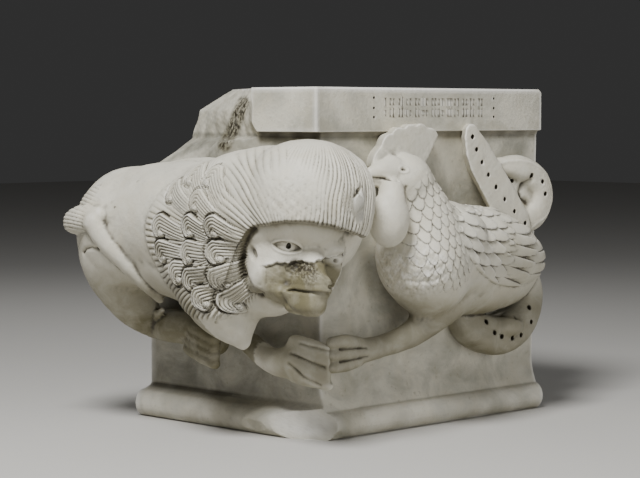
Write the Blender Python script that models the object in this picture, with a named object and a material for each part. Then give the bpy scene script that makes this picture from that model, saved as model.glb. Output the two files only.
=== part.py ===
import math

import bmesh
import bpy
import numpy as np
from mathutils import Matrix, Vector
from mathutils.bvhtree import BVHTree

# Driving sizes, in metres
block_height = 0.340
block_width = 0.341
block_depth = 0.254
band_height = 0.044
torus_height = 0.027
torus_out = 0.0125
lion_face_set_back = 0.0095
bird_face_set_back = 0.004
lion_cove = 0.006
bird_cove = 0.028
end_batter = 0.007
drill_radius = 0.0025
drill_depth = 0.006
voxel = 0.0023
figure_smoothing = 3
mass_smoothing = 14
mass_voxel = 0.004
lock_height = 0.022
lock_rise = 0.0042
feather_length = 0.017
feather_width = 0.012
feather_rise = 0.0026
scale_length = 0.011
scale_width = 0.010
scale_rise = 0.0015
triangle_goal = 9000

# The carving is laid out in millimetres on a block of these sizes and follows the real block
laid_out_width = 341
laid_out_depth = 254
laid_out_height = 340
mm = 0.001
unit = block_height / laid_out_height
stretch = Matrix.Diagonal((block_width / (laid_out_width * mm), block_depth / (laid_out_depth * mm),
                           block_height / (laid_out_height * mm), 1.0))

for old in list(bpy.data.objects):
    bpy.data.objects.remove(old, do_unlink=True)

marble = bpy.data.materials.new("marble")
marble.use_nodes = True
shader = marble.node_tree.nodes["Principled BSDF"]
shader.inputs["Base Color"].default_value = (0.62, 0.60, 0.55, 1.0)
shader.inputs["Roughness"].default_value = 0.55


def axes(origin, along, out, up):
    matrix = Matrix.Identity(4)
    for column, axis in enumerate((along, out, up)):
        for row in range(3):
            matrix[row][column] = axis[row]
    for row in range(3):
        matrix[row][3] = origin[row] * mm
    return matrix


def facing(degrees):
    """A frame at the foot's front corner that looks out at this angle from the lion's side."""
    c, s = math.cos(math.radians(degrees)), math.sin(math.radians(degrees))
    return axes((0, 0, 0), (s, -c, 0), (-c, -s, 0), (0, 0, 1))


# Working frames: along a face, out of it, and up; millimetres from the front corner
lion_side = stretch @ axes((0, 0, 0), (0, 1, 0), (-1, 0, 0), (0, 0, 1))
bird_side = stretch @ axes((0, 0, 0), (1, 0, 0), (0, -1, 0), (0, 0, 1))
level_corner = facing(45)
corner = stretch @ level_corner

# The lion's face is turned to the basilisk's side and tilted over a little
turned = Matrix.Rotation(math.radians(33), 3, "Z")
turned = turned @ Matrix.Rotation(math.radians(-1.3), 3, "X")
turned = turned @ Matrix.Rotation(math.radians(13.5), 3, "Y")


def corner_axis(vector):
    v = turned @ Vector((vector[0], -vector[1], vector[2]))
    return level_corner.to_3x3() @ Vector((v.x, -v.y, v.z))


face_origin = level_corner.to_3x3() @ Vector((-1, 70, 185))
head_axes = [corner_axis(axis) for axis in ((1, 0, 0), (0, 1, 0), (0, 0, 1))]
lion_head = stretch @ axes(face_origin, *head_axes)


def place(where, point):
    return where @ (Vector(point) * mm)


def add_ball(bm, where, centre, radii, tilt=0.0, square=2.0):
    """An ellipsoid; tilt turns it in the plane of the face in degrees, square makes it boxier."""
    made = bmesh.ops.create_icosphere(bm, subdivisions=3, radius=1.0)
    if square != 2.0:
        for vert in made["verts"]:
            length = sum(abs(c) ** square for c in vert.co) ** (1 / square)
            vert.co = vert.co / length
    turn = Matrix.Rotation(math.radians(-tilt), 4, "Y")
    size = Matrix.Diagonal((radii[0] * mm, radii[1] * mm, radii[2] * mm, 1.0))
    shift = Matrix.Translation(Vector(centre) * mm)
    bmesh.ops.transform(bm, matrix=where @ shift @ turn @ size, verts=made["verts"])
    return made["verts"]


def smooth_stations(stations, steps):
    """Catmull-Rom points through the stations (position and radius together)."""
    data = np.array(stations, dtype=float)
    data = np.vstack([2 * data[0] - data[1], data, 2 * data[-1] - data[-2]])
    rows = []
    for i in range(1, len(data) - 2):
        a, b, c, d = data[i - 1], data[i], data[i + 1], data[i + 2]
        for step in range(steps):
            t = step / steps
            rows.append(0.5 * (2 * b + (c - a) * t + (2 * a - 5 * b + 4 * c - d) * t * t
                               + (3 * b - a - 3 * c + d) * t ** 3))
    rows.append(data[-2])
    return np.array(rows)


def add_limb(bm, where, stations, flat=1.0, sides=14, square=2.0):
    """A closed tube through (along, out, up, radius); flat scales its depth, square its section."""
    rows = smooth_stations(stations, 5)
    rows[:, 3] = np.maximum(rows[:, 3], 0.8)
    tangents = np.gradient(rows[:, :3], axis=0)
    tangents /= np.linalg.norm(tangents, axis=1)[:, None]
    caps = [(-0.95, 0.31), (-0.6, 0.8)]
    start = [(0, shift, scale) for shift, scale in caps]
    middle = [(i, 0.0, 1.0) for i in range(len(rows))]
    end = [(len(rows) - 1, -shift, scale) for shift, scale in reversed(caps)]
    rings = []
    for index, shift, scale in start + middle + end:
        tangent = tangents[index]
        radius = rows[index, 3]
        centre = rows[index, :3] + tangent * shift * radius * min(flat, 1.0)
        outward = np.array((0.0, 1.0, 0.0))
        outward = outward - tangent * np.dot(outward, tangent)
        length = np.linalg.norm(outward)
        if length < 0.2:
            outward = np.array((0.0, 0.0, 1.0)) - tangent * tangent[2]
            length = np.linalg.norm(outward)
        outward /= length
        side = np.cross(tangent, outward)
        ring = []
        for k in range(sides):
            angle = 2 * math.pi * k / sides
            c, s = math.cos(angle), math.sin(angle)
            c = math.copysign(abs(c) ** (2 / square), c)
            s = math.copysign(abs(s) ** (2 / square), s)
            point = centre + radius * scale * (side * c + outward * s * flat)
            ring.append(bm.verts.new(place(where, point)))
        rings.append(ring)
    for low, high in zip(rings, rings[1:]):
        for k in range(sides):
            bm.faces.new((low[k], low[(k + 1) % sides], high[(k + 1) % sides], high[k]))
    bm.faces.new(list(reversed(rings[0])))
    bm.faces.new(rings[-1])


def add_plate(bm, where, outline, inner, outer, lean):
    """A plate with the given outline (along, up), its back shifted along the face by lean."""
    low = [bm.verts.new(place(where, (a + lean, inner, u))) for a, u in outline]
    high = [bm.verts.new(place(where, (a, outer, u))) for a, u in outline]
    count = len(outline)
    for k in range(count):
        bm.faces.new((low[k], low[(k + 1) % count], high[(k + 1) % count], high[k]))
    bm.faces.new(list(reversed(low)))
    bm.faces.new(high)


def to_object(bm, name):
    bmesh.ops.recalc_face_normals(bm, faces=bm.faces)
    mesh = bpy.data.meshes.new(name)
    bm.to_mesh(mesh)
    bm.free()
    obj = bpy.data.objects.new(name, mesh)
    bpy.context.collection.objects.link(obj)
    return obj


def bake(obj):
    """Swap the object's mesh for its evaluated one and drop its modifiers."""
    graph = bpy.context.evaluated_depsgraph_get()
    mesh = bpy.data.meshes.new_from_object(obj.evaluated_get(graph))
    obj.modifiers.clear()
    obj.data = mesh
    return obj


def combine(obj, other, operation):
    modifier = obj.modifiers.new(operation, "BOOLEAN")
    modifier.operation = operation
    modifier.solver = "EXACT"
    modifier.object = other
    bake(obj)
    bpy.data.objects.remove(other, do_unlink=True)
    return obj


def close_up(obj, reach):
    """Weld slivers left along the cuts and fill any gap they leave, so the skin is closed."""
    bm = bmesh.new()
    bm.from_mesh(obj.data)
    bmesh.ops.remove_doubles(bm, verts=bm.verts, dist=reach)
    bmesh.ops.dissolve_degenerate(bm, edges=bm.edges, dist=reach / 4)
    bmesh.ops.triangulate(bm, faces=bm.faces)
    for attempt in range(3):
        crowded = [edge for edge in bm.edges if len(edge.link_faces) > 2]
        spare = {min(edge.link_faces, key=lambda face: face.calc_area()) for edge in crowded}
        if spare:
            bmesh.ops.delete(bm, geom=list(spare), context="FACES")
        rim = [edge for edge in bm.edges if len(edge.link_faces) == 1]
        if rim:
            bmesh.ops.holes_fill(bm, edges=rim, sides=0)
        loose = [vert for vert in bm.verts if not vert.link_faces]
        bmesh.ops.delete(bm, geom=loose, context="VERTS")
    bmesh.ops.triangulate(bm, faces=bm.faces)
    bmesh.ops.recalc_face_normals(bm, faces=bm.faces)
    open_edges = sum(1 for edge in bm.edges if len(edge.link_faces) != 2)
    bm.to_mesh(obj.data)
    bm.free()
    print("open edges", open_edges)


# The block: named levels of the profile, each with how far it stands out of the two faces
torus_top = torus_height / mm
band_foot = (block_height - band_height) / mm
lion_back = -lion_face_set_back / mm
bird_back = -bird_face_set_back / mm


def torus_reach(level):
    middle = torus_top / 2
    return (torus_out / mm) * math.sqrt(max(0.0, 1 - 0.92 * ((level - middle) / middle) ** 2))


def block_profile(level, back, cove_height):
    if level <= torus_top:
        return torus_reach(level)
    if level < torus_top + cove_height:
        t = (level - torus_top) / cove_height
        return 3.0 + (back - 3.0) * math.sin(t * math.pi / 2)
    if level <= band_foot - 4:
        return back
    if level <= band_foot:
        return back + 1.5 * (level - band_foot + 4) / 4
    return 0.0


def end_profile(level):
    if level > band_foot:
        return block_width / mm
    return block_width / mm - 3.0 - end_batter / mm * (1 - level / band_foot)


def make_block():
    bm = bmesh.new()
    torus_levels = [torus_top * (1 - math.cos(math.pi * k / 8)) / 2 for k in range(9)]
    cove_levels = [torus_top + bird_cove / mm * share for share in (0.02, 0.1, 0.22, 0.5, 0.75, 1.0)]
    middle_levels = [torus_top + (band_foot - torus_top) * share for share in (0.4, 0.7)]
    levels = torus_levels + cove_levels + middle_levels
    levels += [band_foot - 4, band_foot, band_foot + 1.2, block_height / mm - 1, block_height / mm]
    rings = []
    for level in levels:
        left = block_profile(level, lion_back, lion_cove / mm)
        front = block_profile(level, bird_back, bird_cove / mm)
        if level == levels[-1]:
            left = front = -1.0
        x_end = end_profile(level)
        y_end = block_depth / mm
        plan = [(-left, -front), (x_end, -front), (x_end, y_end), (-left, y_end)]
        rings.append([bm.verts.new(Vector((x, y, level)) * mm) for x, y in plan])
    for low, high in zip(rings, rings[1:]):
        for k in range(4):
            bm.faces.new((low[k], low[(k + 1) % 4], high[(k + 1) % 4], high[k]))
    bm.faces.new(list(reversed(rings[0])))
    bm.faces.new(rings[-1])
    return to_object(bm, "block")


# A repeatable unevenness for broken stone: a few sine waves, so no random numbers are needed
def rough(a, b, scale):
    wave = np.sin(a * 0.21 + 1.3 * np.sin(b * 0.17)) + 0.6 * np.sin(b * 0.33 + a * 0.11 + 2.0)
    wave = wave + 0.35 * np.sin(a * 0.63 - b * 0.41) + 0.25 * np.sin(a * 0.94 + b * 0.77 + 1.0)
    return wave * scale


def break_depth(along, up):
    """How deep the knocked-off back corner reaches behind the lion's face at a place on it."""
    upper = 0.5 + 0.5 * math.tanh((up - 289) / 1.5)
    start = 128 - 38 * upper - 0.9 * max(0.0, 306 - up) * upper
    far_lower = 22 + (up - 264) * 1.9
    far_upper = 68 + (up - 292) * 0.45 + max(0.0, up - 318) * 1.6
    far = far_lower + (far_upper - far_lower) * upper
    part = (along - start) / (laid_out_depth - start)
    deep = far * (0.88 * part + 0.12 * math.tanh(9 * part))
    below = max(0.0, 262 - up) * 3.0
    return deep + float(rough(np.array(along), np.array(up), 1.1)) - below


def make_corner_break():
    """A closed sheet whose back follows the fracture and whose front stands outside the stone."""
    alongs = np.linspace(70, 275, 36)
    ups = np.linspace(250, 352, 22)
    bm = bmesh.new()
    grids = []
    for front in (True, False):
        grid = []
        for along in alongs:
            column = []
            for up in ups:
                reach = -70.0 if front else max(-60.0, break_depth(along, min(up, laid_out_height)))
                column.append(bm.verts.new(place(lion_side, (along, -reach, up))))
            grid.append(column)
        grids.append(grid)
    for grid in grids:
        for i in range(len(alongs) - 1):
            for j in range(len(ups) - 1):
                bm.faces.new((grid[i][j], grid[i + 1][j], grid[i + 1][j + 1], grid[i][j + 1]))
    edge = [(i, 0) for i in range(len(alongs))]
    edge += [(len(alongs) - 1, j) for j in range(1, len(ups))]
    edge += [(i, len(ups) - 1) for i in range(len(alongs) - 2, -1, -1)]
    edge += [(0, j) for j in range(len(ups) - 2, 0, -1)]
    for (i, j), (m, n) in zip(edge, edge[1:] + edge[:1]):
        bm.faces.new((grids[0][i][j], grids[0][m][n], grids[1][m][n], grids[1][i][j]))
    return to_object(bm, "corner_break")


def chip_away(stone):
    """Lumps taken out of the foot moulding, its corner and the top corner."""
    lumps = [
        (stretch @ facing(25), (-19, 48, 13), (172, 60, 45), 0),
        (bird_side, (20, 40, 0), (17, 34, 16), 0),
        (lion_side, (75, 22, 4), (30, 13, 17), 8),
        (bird_side, (340, 18, 8), (11, 16, 18), 0),
        (bird_side, (347, 2, 344), (12, 22, 11), 0),
    ]
    for where, centre, radii, tilt in lumps:
        bm = bmesh.new()
        verts = add_ball(bm, where, centre, radii, tilt)
        middle = where @ (Vector(centre) * mm)
        for vert in verts:
            a, b, c = vert.co / mm
            push = 1 + float(rough(np.array(a + c), np.array(b - c), 0.02))
            vert.co = middle + (vert.co - middle) * push
        combine(stone, to_object(bm, "lump"), "DIFFERENCE")


def lion_masses(bm):
    # Trunk from the rump to the shoulder, with the belly hanging under it
    add_ball(bm, lion_side, (208, 50, 199), (60, 60, 63))
    add_limb(bm, lion_side, [(205, 46, 203, 58), (165, 44, 207, 60), (120, 46, 207, 61),
                             (75, 48, 205, 60)])
    add_limb(bm, lion_side, [(206, 42, 178, 42), (165, 44, 181, 47), (125, 48, 176, 47),
                             (90, 52, 166, 44)])
    add_ball(bm, lion_side, (140, 12, 240), (100, 24, 32), 0)
    # Haunch and the upper arm
    add_limb(bm, lion_side, [(222, 66, 176, 37), (226, 54, 152, 34), (224, 36, 120, 25),
                             (226, 16, 99, 15)])
    add_limb(bm, lion_side, [(80, 62, 172, 46), (62, 64, 140, 38), (54, 58, 118, 29),
                             (49, 55, 105, 19), (46, 52, 96, 9)])
    add_ball(bm, lion_side, (30, 42, 154), (46, 40, 32), 12)
    # Mane down the neck
    add_ball(bm, lion_side, (76, 54, 208), (66, 54, 62), 10)
    add_limb(bm, lion_side, [(78, 50, 214, 54), (30, 56, 226, 56), (-20, 46, 230, 52)])
    add_ball(bm, lion_side, (52, 60, 184), (52, 50, 48), 16)
    add_ball(bm, corner, (-2, 6, 216), (50, 40, 58))
    add_ball(bm, corner, (-30, 32, 200), (44, 42, 48))


def lion_features(bm):
    # Hind foot, heel spur, tail with its tuft
    add_limb(bm, lion_side, [(236, 2, 97, 15), (200, 10, 98, 17), (165, 13, 98, 17),
                             (140, 14, 93, 16), (126, 14, 87, 13)])
    add_limb(bm, lion_side, [(205, 26, 108, 4), (192, 28, 116, 3)])
    for toe in range(4):
        level = 105 - 8 * toe
        add_limb(bm, lion_side, [(160, 20, level - 2, 7), (138, 27, level - 6, 7),
                                 (114, 28, level - 13, 6)])
    add_limb(bm, lion_side, [(190, 66, 145, 3), (188, 92, 166, 8), (192, 105, 190, 10),
                             (202, 108, 208, 12)], flat=0.9)
    add_limb(bm, lion_side, [(196, 106, 214, 9), (220, 107, 210, 13), (239, 104, 206, 12),
                             (252, 98, 204, 6)], flat=0.8)
    # Forearm and the paw round the corner
    add_limb(bm, lion_side, [(84, 6, 88, 11), (50, 16, 78, 12), (24, 20, 76, 15),
                             (8, 20, 80, 17)])
    for toe in range(4):
        level = 98 - 10.5 * toe
        add_limb(bm, corner, [(-20, 10, level - 1, 8), (-6, 24, level - 3, 8),
                              (11, 29, level - 7, 6.5)])
    # Skull, cheeks, bridge of the nose, muzzle and lower jaw
    add_ball(bm, lion_head, (0, -38, -1), (47, 39, 37), square=2.7)
    add_ball(bm, lion_head, (-25, -30, -24), (21, 27, 23), square=2.3)
    add_ball(bm, lion_head, (24, -32, -22), (18, 26, 20))
    add_limb(bm, lion_head, [(0, -14, 8, 17), (-2, 6, -8, 16), (-4, 20, -22, 15)])
    add_ball(bm, lion_head, (-4, 13, -28), (18, 27, 14), square=2.6)
    add_ball(bm, lion_head, (-4, 5, -51), (17, 27, 12), square=2.5)
    add_ball(bm, lion_head, (-10, -16, -46), (20, 24, 13))


def make_cap(bm):
    """The combed mane over the head, cut off below along the fringe."""
    verts = add_ball(bm, corner, (-8, 48, 232), (61, 59, 58.5), square=2.2)
    to_corner = corner.inverted()
    for vert in verts:
        along, out, up = (to_corner @ vert.co) / mm
        fringe = 218 - 0.0042 * (along + 18) ** 2
        if up < fringe:
            vert.co = corner @ (Vector((along, out, fringe + (up - fringe) * 0.12)) * mm)


def basilisk_masses(bm):
    # Neck, breast and body, wing over the back and thigh under it
    add_ball(bm, bird_side, (85, 36, 251), (29, 27, 26))
    add_limb(bm, bird_side, [(84, 34, 250, 24), (98, 34, 228, 32), (108, 34, 200, 41),
                             (112, 34, 174, 46), (126, 30, 158, 44)])
    add_limb(bm, bird_side, [(120, 30, 170, 46), (170, 22, 172, 44), (225, 14, 168, 42),
                             (262, 8, 160, 38), (287, 2, 154, 32)])
    add_ball(bm, bird_side, (150, 32, 192), (42, 40, 36), -30)
    add_ball(bm, bird_side, (228, 13, 134), (76, 31, 25), 4)
    add_limb(bm, bird_side, [(182, 16, 137, 27), (150, 22, 117, 19), (110, 22, 97, 14),
                             (70, 19, 88, 12), (34, 20, 86, 14)])


def strap_outline():
    """The tail's upper strap: upright on the left, slanting on the right, rounded at its tip."""
    left = [(216, 196), (200, 216), (189, 240), (184, 264), (182, 290), (185, 300)]
    tip = [(192, 304), (200, 302), (205, 296)]
    right = [(213, 280), (226, 254), (241, 234), (262, 214), (276, 204), (278, 188)]
    return left + tip + right


def strap_holes():
    return [(194 + 0.0025 * step * step * 24 + 4.6 * step, 292 - 13.2 * step + 0.22 * step * step)
            for step in range(8)]


def ring_line():
    """Stations of the tail's ring beside the strap."""
    return [(308, 11, 246, 16), (317, 10, 228, 17), (310, 10, 210, 16)]


def coil_line():
    """Stations of the tail's coil under the wing."""
    return [(308, 6, 146, 12), (308, 8, 125, 15), (297, 9, 105, 18), (278, 10, 91, 20),
            (250, 11, 84, 22), (218, 10, 88, 21), (199, 8, 98, 19), (190, 4, 112, 14)]


def basilisk_features(bm):
    # Beak and the wattles under it
    add_limb(bm, bird_side, [(64, 38, 260, 15), (50, 38, 259, 11), (38, 35, 257, 7)], flat=0.9)
    add_limb(bm, bird_side, [(62, 40, 251, 8), (50, 38, 249, 6), (43, 36, 248, 4)], flat=0.9)
    add_limb(bm, bird_side, [(54, 48, 242, 12), (49, 52, 230, 14), (47, 52, 222, 14)])
    add_ball(bm, bird_side, (46, 52, 214), (22, 18, 27), 0)
    add_limb(bm, bird_side, [(32, 42, 232, 3), (31, 45, 222, 6), (29, 46, 216, 5)])
    add_ball(bm, bird_side, (208, 26, 182), (95, 37, 43), -13)
    for side in (-1, 0, 1):
        add_limb(bm, bird_side, [(36, 22, 86 + 7 * side, 7.5), (12, 28, 87 + 11 * side, 7),
                                 (-10, 31, 87 + 11.5 * side, 6)])
    # The tail: a strap up the field, a ring behind it and a coil below
    add_plate(bm, bird_side, strap_outline(), -6, 29, 34)
    add_limb(bm, bird_side, [(250, 10, 265, 4), (266, 10, 260, 10), (286, 11, 257, 14)]
             + ring_line() + [(292, 10, 203, 14), (279, 10, 212, 12), (278, 10, 224, 9)],
             square=2.6)
    add_ball(bm, bird_side, (292, 2, 230), (38, 15, 38), 0)
    add_limb(bm, bird_side, coil_line(), square=2.8)
    add_ball(bm, bird_side, (256, 22, 94), (22, 15, 13), 4)
    # Comb: a fan of five lobes on the crown
    fan = []
    lobes = 5
    for step in range(31):
        t = step / 30
        angle = math.radians(170 - 132 * t)
        reach = 45 + 5 * max(0.0, 1 - 6 * t) + 38 * max(0.0, t - 0.6) ** 1.1
        reach += 3.4 * abs(math.sin(lobes * math.pi * t))
        fan.append((90 + reach * math.cos(angle), 254 + reach * math.sin(angle)))
    fan += [(132, 279), (121, 266), (104, 246), (76, 248)]
    add_plate(bm, bird_side, fan, -6, 34, 34)


def blended(bm, name, size, rounds):
    """Merge everything in the mesh into one skin and let it flow together."""
    obj = to_object(bm, name)
    remesh = obj.modifiers.new("merge", "REMESH")
    remesh.mode = "VOXEL"
    remesh.voxel_size = size
    smooth = obj.modifiers.new("blend", "SMOOTH")
    smooth.factor = 0.5
    smooth.iterations = rounds
    return bake(obj)


def make_figures():
    bm = bmesh.new()
    lion_masses(bm)
    basilisk_masses(bm)
    masses = blended(bm, "masses", mass_voxel, mass_smoothing)
    bm = bmesh.new()
    bm.from_mesh(masses.data)
    bpy.data.objects.remove(masses, do_unlink=True)
    lion_features(bm)
    make_cap(bm)
    basilisk_features(bm)
    return blended(bm, "figures", voxel, figure_smoothing)


def in_frame(points, where):
    """Points (metres, world) in the millimetres of a working frame."""
    inverse = np.array(where.inverted())
    return (points @ inverse[:3, :3].T + inverse[:3, 3]) / mm


def soft_disc(a, b, centre, radii, turn=0.0, edge=0.15):
    """1 inside an ellipse, falling to 0 over the edge share of its radius."""
    c, s = math.cos(math.radians(turn)), math.sin(math.radians(turn))
    da, db = a - centre[0], b - centre[1]
    u = (da * c + db * s) / radii[0]
    v = (-da * s + db * c) / radii[1]
    return np.clip((1 - np.sqrt(u * u + v * v)) / edge, 0, 1)


def shingles(a, b, length, width, rise):
    """Overlapping feathers running along +a, each highest at its rounded tip."""
    best = np.zeros_like(a)
    done = np.zeros(a.shape, dtype=bool)
    row = np.floor(a / length)
    for back in (1, 0):
        number = row - back
        shift = np.where(np.mod(number, 2) == 0, 0.0, width / 2)
        across = np.mod(b + shift, width) - width / 2
        start = number * length
        tip = start + length * (1.55 - 0.95 * np.abs(2 * across / width) ** 2.2)
        inside = (a >= start) & (a < tip) & ~done
        height = rise * np.clip((a - start) / (1.5 * length), 0, 1)
        height = height * (1 - 0.25 * (2 * across / width) ** 2)
        best = np.where(inside, height, best)
        done = done | inside
    return best


def lock_places(height):
    """Locks of the mane in three rings round the face, outermost first: along, up, tilt."""
    places = []
    for ring, radius in ((2, 104), (1, 70), (0, 37)):
        step = math.degrees(height / radius) * 1.06
        count = int(74 / step)
        for k in range(-count, count + 1):
            turn = (k + 0.5 * (ring % 2)) * step
            if -76 < turn < 62:
                c, s = math.cos(math.radians(turn)), math.sin(math.radians(turn))
                places.append((-8 + radius * c, 191 + radius * s, turn))
    return places


def locks(a, b, height, rise):
    """Rounded locks of hair, each with its tip away from the face."""
    lift = np.zeros_like(a)
    for place_a, place_b, turn in lock_places(height):
        u, v = rotated(a - place_a, b - place_b, turn)
        reach = np.where(u > 0, np.hypot(u / 1.3, v), np.abs(v)) / (0.54 * height)
        inside = (reach < 1) & (u > -1.7 * height)
        lift = np.where(inside, rise * np.sqrt(np.clip(1 - reach ** 3, 0, 1)) * (1 + 0.012 * u), lift)
    return lift


def rotated(a, b, degrees):
    c, s = math.cos(math.radians(degrees)), math.sin(math.radians(degrees))
    return a * c + b * s, -a * s + b * c


def relief(obj):
    """Push the skin out along its normals where locks and feathers are carved."""
    mesh = obj.data
    count = len(mesh.vertices)
    points = np.empty(count * 3)
    mesh.vertices.foreach_get("co", points)
    points = points.reshape(-1, 3)
    normals = np.array([tuple(item.vector) for item in mesh.vertex_normals])
    lift = np.zeros(count)

    along, out, up = in_frame(points, lion_side).T
    mane = soft_disc(along, up, (55, 196), (68, 76), 16)
    mane = mane * (out > 30) * np.clip((along + 4) / 8, 0, 1)
    lift += mane * locks(along, up, lock_height / unit, lock_rise / unit)

    along, out, up = in_frame(points, bird_side).T
    ahead = (out > 12) & (normals[:, 1] < 0.25)
    a, b = rotated(along - 140, up - 200, -31)
    wing = soft_disc(along, up, (214, 182), (92, 41), -14, 0.06) * ahead
    lift += wing * shingles(a, b, feather_length / unit, feather_width / unit, feather_rise / unit)
    a, b = rotated(along - 140, up - 240, -82)
    breast = soft_disc(along, up, (112, 190), (50, 66), 8, 0.1) * ahead * (1 - wing)
    breast = breast * np.clip((along + out - 112) / 8, 0, 1)
    lift += breast * shingles(a, b, scale_length / unit, scale_width / unit, scale_rise / unit)

    points += normals * (lift * unit)[:, None]
    mesh.vertices.foreach_set("co", points.ravel())
    mesh.update()


def trim(obj):
    """Cut the figures off flat at the two built-in faces."""
    bm = bmesh.new()
    bm.from_mesh(obj.data)
    for level, axis in ((block_depth - 0.0003, 1), (block_width - 0.004, 0)):
        normal = Vector((0, 0, 0))
        normal[axis] = 1.0
        point = normal * level
        geometry = bm.verts[:] + bm.edges[:] + bm.faces[:]
        cut = bmesh.ops.bisect_plane(bm, geom=geometry, plane_co=point, plane_no=normal,
                                     clear_outer=True)
        rim = [item for item in cut["geom_cut"] if isinstance(item, bmesh.types.BMEdge)]
        if rim:
            bmesh.ops.holes_fill(bm, edges=rim, sides=0)
    bm.to_mesh(obj.data)
    bm.free()


def arc_places(centre, radii, angles):
    return [(centre[0] + radii[0] * math.cos(math.radians(angle)),
             centre[1] + radii[1] * math.sin(math.radians(angle))) for angle in angles]


def drill(stone):
    """Small round holes along the tail, sunk straight in from the skin."""
    places = strap_holes()
    places += arc_places((285, 233), (21, 17), (134, 92, 45, -8))
    places += arc_places((260, 104), (36, 21), (185, 222, 242, 268, 293, 338, 382))
    tree = BVHTree.FromObject(stone, bpy.context.evaluated_depsgraph_get())
    bm = bmesh.new()
    for along, up in places:
        start = place(bird_side, (along, 120, up))
        hit, normal, index, distance = tree.ray_cast(start, Vector((0, 1, 0)))
        turn = Matrix.Rotation(math.radians(90), 4, "X")
        where = Matrix.Translation(hit) @ turn
        bmesh.ops.create_cone(bm, cap_ends=True, segments=8, radius1=drill_radius,
                              radius2=drill_radius, depth=2 * drill_depth, matrix=where)
    combine(stone, to_object(bm, "drills"), "DIFFERENCE")


def main():
    figures = make_figures()
    relief(figures)
    trim(figures)
    stone = make_block()
    combine(stone, make_corner_break(), "DIFFERENCE")
    chip_away(stone)
    combine(stone, figures, "UNION")
    stone.name = "lion_and_basilisk_capital"
    stone.data.name = stone.name
    close_up(stone, 0.0002)
    decimate = stone.modifiers.new("spare", "DECIMATE")
    count = sum(len(face.vertices) - 2 for face in stone.data.polygons)
    decimate.ratio = min(1.0, triangle_goal / count)
    bake(stone)
    close_up(stone, 0.0001)
    drill(stone)
    close_up(stone, 0.00005)
    stone.data.transform(Matrix.Translation((-block_width / 2, -block_depth / 2, 0)))
    for vert in stone.data.vertices:
        if abs(vert.co.z) < 0.0006:
            vert.co.z = 0.0
        if abs(vert.co.z - block_height) < 0.0006:
            vert.co.z = block_height
    stone.data.materials.clear()
    stone.data.materials.append(marble)
    print("triangles", sum(len(face.vertices) - 2 for face in stone.data.polygons))


main()
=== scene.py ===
import math

import bmesh
import bpy
import numpy as np
from mathutils import Matrix, Vector
from mathutils.bvhtree import BVHTree


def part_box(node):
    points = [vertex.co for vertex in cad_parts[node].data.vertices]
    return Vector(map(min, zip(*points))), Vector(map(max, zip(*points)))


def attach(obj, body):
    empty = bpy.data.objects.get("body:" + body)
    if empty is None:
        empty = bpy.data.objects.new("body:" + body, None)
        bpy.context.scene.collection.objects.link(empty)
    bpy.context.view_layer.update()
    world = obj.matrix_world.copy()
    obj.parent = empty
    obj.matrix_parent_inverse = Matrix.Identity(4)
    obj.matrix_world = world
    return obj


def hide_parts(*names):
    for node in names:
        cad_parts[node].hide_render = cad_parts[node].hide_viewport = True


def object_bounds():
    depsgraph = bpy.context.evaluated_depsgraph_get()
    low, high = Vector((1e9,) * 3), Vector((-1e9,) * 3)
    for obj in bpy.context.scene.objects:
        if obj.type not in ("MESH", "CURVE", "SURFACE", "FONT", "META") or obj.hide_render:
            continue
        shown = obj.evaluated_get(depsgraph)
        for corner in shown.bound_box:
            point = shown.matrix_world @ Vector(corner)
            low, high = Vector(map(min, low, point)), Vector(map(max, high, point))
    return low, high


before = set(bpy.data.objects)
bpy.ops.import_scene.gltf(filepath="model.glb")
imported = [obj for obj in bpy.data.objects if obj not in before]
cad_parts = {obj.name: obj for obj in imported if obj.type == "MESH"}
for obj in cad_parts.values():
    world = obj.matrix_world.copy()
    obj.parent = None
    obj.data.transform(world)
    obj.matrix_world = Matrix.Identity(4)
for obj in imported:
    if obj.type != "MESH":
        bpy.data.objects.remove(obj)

nodeName = "lion_and_basilisk_capital"
cadBox = [list(corner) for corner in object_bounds()]
nodeLow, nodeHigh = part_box(nodeName)
mm = 0.001
blockHeight = (nodeHigh.z - nodeLow.z) / mm   # everything carved is laid out in millimetres
blockWidth = 341.0                            # basilisk's side, along X
blockDepth = 254.0                            # lion's side, along Y
rootHalf = math.sqrt(0.5)


def sideFrame(origin, along, out, up):
    matrix = Matrix((along, out, up)).transposed().to_4x4()
    matrix.translation = [value * mm for value in origin]
    return matrix


def facingFrame(degrees):
    # looks out at this angle from the lion's side
    c, s = math.cos(math.radians(degrees)), math.sin(math.radians(degrees))
    return sideFrame(cornerFoot, (s, -c, 0), (-c, -s, 0), (0, 0, 1))


# working frames: along a face, out of it, up, from the front corner of the foot
cornerFoot = (-blockWidth / 2, -blockDepth / 2, nodeLow.z / mm)
lionSide = sideFrame(cornerFoot, (0, 1, 0), (-1, 0, 0), (0, 0, 1))
birdSide = sideFrame(cornerFoot, (1, 0, 0), (0, -1, 0), (0, 0, 1))
cornerView = facingFrame(45)

# the lion's face is turned to the basilisk's side and tilted over a little
headTurn = Matrix.Rotation(math.radians(33), 3, "Z")
headTurn = headTurn @ Matrix.Rotation(math.radians(-1.3), 3, "X")
headTurn = headTurn @ Matrix.Rotation(math.radians(13.5), 3, "Y")


def headAxis(vector):
    v = headTurn @ Vector((vector[0], -vector[1], vector[2]))
    return cornerView.to_3x3() @ Vector((v.x, -v.y, v.z))


headOrigin = (cornerView @ (Vector((-1, 70, 185)) * mm)) / mm
lionHead = sideFrame(headOrigin, headAxis((1, 0, 0)), headAxis((0, 1, 0)), headAxis((0, 0, 1)))


def place(where, point):
    return where @ (Vector(point) * mm)


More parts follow.
